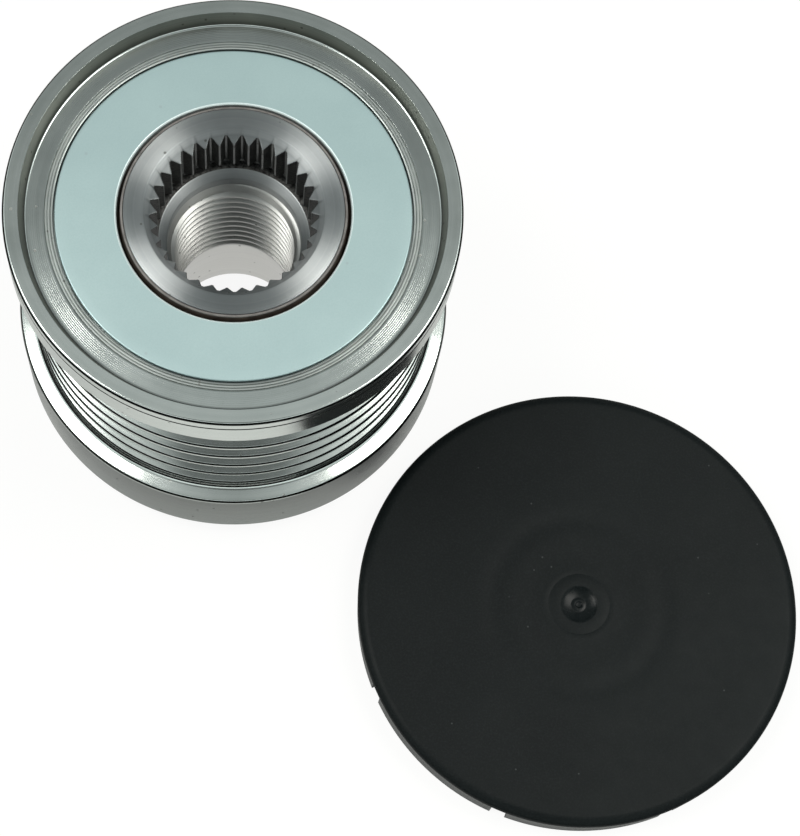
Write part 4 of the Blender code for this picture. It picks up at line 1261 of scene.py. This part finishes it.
def slot_cutter():
    """Boxes through the skirt, one for each slot."""
    bm = bmesh.new()
    middle = 0.5 * (CAP_INNER + CAP_SKIRT)
    for index in range(CAP_SLOTS):
        turn = Matrix.Rotation(CAP_SLOT_PHASE + index * 2.0 * math.pi / CAP_SLOTS, 4, "Z")
        size = Matrix.Diagonal((0.0024, CAP_SLOT_WIDTH, 2.0 * (CAP_DEPTH - 0.00036), 1.0))
        bmesh.ops.create_cube(bm, size=1.0, matrix=turn @ Matrix.Translation((middle, 0.0, 0.0)) @ size)
    mesh = bpy.data.meshes.new("slot_cutter")
    bm.to_mesh(mesh)
    bm.free()
    return bpy.data.objects.new("slot_cutter", mesh)


def make_cap():
    """Spin the cap, cut its slots, then move the mesh to where the cap lies."""
    bm = bmesh.new()
    wire_section(bm, cap_section(), closed=False)
    spin_wire(bm, FINE_STEPS)
    sink_marks(bm)
    for face in bm.faces:
        middle = face.calc_center_median()
        on_skirt = math.hypot(middle.x, middle.y) > CAP_SKIRT - 0.00005 and middle.z < CAP_DEPTH
        face.material_index = 1 if on_skirt else 0
    cap = finish_piece("dust_cap", bm, [cap_plastic, skirt_plastic])
    cutter = slot_cutter()
    bpy.context.scene.collection.objects.link(cutter)
    step = cap.modifiers.new("slots", "BOOLEAN")
    step.object = cutter
    step.solver = "EXACT"
    settle(cap)
    bpy.data.objects.remove(cutter)
    cap.data.transform(Matrix.Translation((CAP_CENTRE.x, CAP_CENTRE.y, 0.0)))
    return cap


place_piece(make_cap(), "hub", "cap_plastic", "cap")

# %% [markdown]
# ## The works inside
# The seals hide the bearings and the clutch, but the model has them, and a cut-away or an exploded
# view will show them. Their CAD shapes are right as they are, so they only get their finishes: ground
# bearing steel, glass-filled nylon and bright spring strip.

# %% Finishes of the inner pieces
def make_ground_steel():
    """Bearing steel, ground nearly to a mirror, with faint circular marks."""
    return make_turned_steel("ground_steel", (0.62, 0.63, 0.64), (0.55, 0.56, 0.57), 0.14, 0.4,
                             0.000001, 0.02)


def make_nylon():
    """Glass-filled nylon: short pale fibres in a dark moulded body."""
    made, tree, shader = new_material("glass_nylon", 0.0, 0.5, (0.11, 0.10, 0.085))
    fibres = noise(tree, squeezed_position(tree, 0.25), 3500.0, 3.0, 0.6)
    colour = mix_colours(tree, remap(tree, fibres, 0.55, 0.75), (0.085, 0.078, 0.066), (0.24, 0.22, 0.19))
    rough = remap(tree, fibres, 0.3, 0.7, 0.42, 0.60)
    link_finish(tree, shader, colour, rough, add_bump(tree, fibres, 0.3, 0.00001))
    return made


def make_spring_strip():
    """Cold-rolled spring strip, with lines along its length."""
    made, tree, shader = new_material("spring_strip", 1.0, 0.25, (0.55, 0.56, 0.58))
    lines = noise(tree, squeezed_position(tree, 0.05), 6000.0, 3.0, 0.6)
    colour = mix_colours(tree, lines, (0.46, 0.47, 0.49), (0.62, 0.63, 0.65))
    rough = remap(tree, lines, 0.3, 0.7, 0.18, 0.32)
    link_finish(tree, shader, colour, rough, add_bump(tree, lines, 0.2, 0.000004))
    return made


ground_steel = make_ground_steel()
glass_nylon = make_nylon()
spring_strip = make_spring_strip()
print("inner finishes ready")

# %% Give the inner pieces their finishes
def finish_for(name):
    """The finish of an inner CAD node, by its name."""
    if "cage" in name:
        return glass_nylon
    if "spring" in name:
        return spring_strip
    return ground_steel


def dress_inner_pieces():
    """Set each shown CAD node's material, and return how many there were."""
    dressed = 0
    for name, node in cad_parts.items():
        if node.hide_render:
            continue
        finish = finish_for(name)
        node.data.materials.clear()
        node.data.materials.append(finish)
        dressed += 1
    return dressed


print(dress_inner_pieces(), "inner pieces dressed")
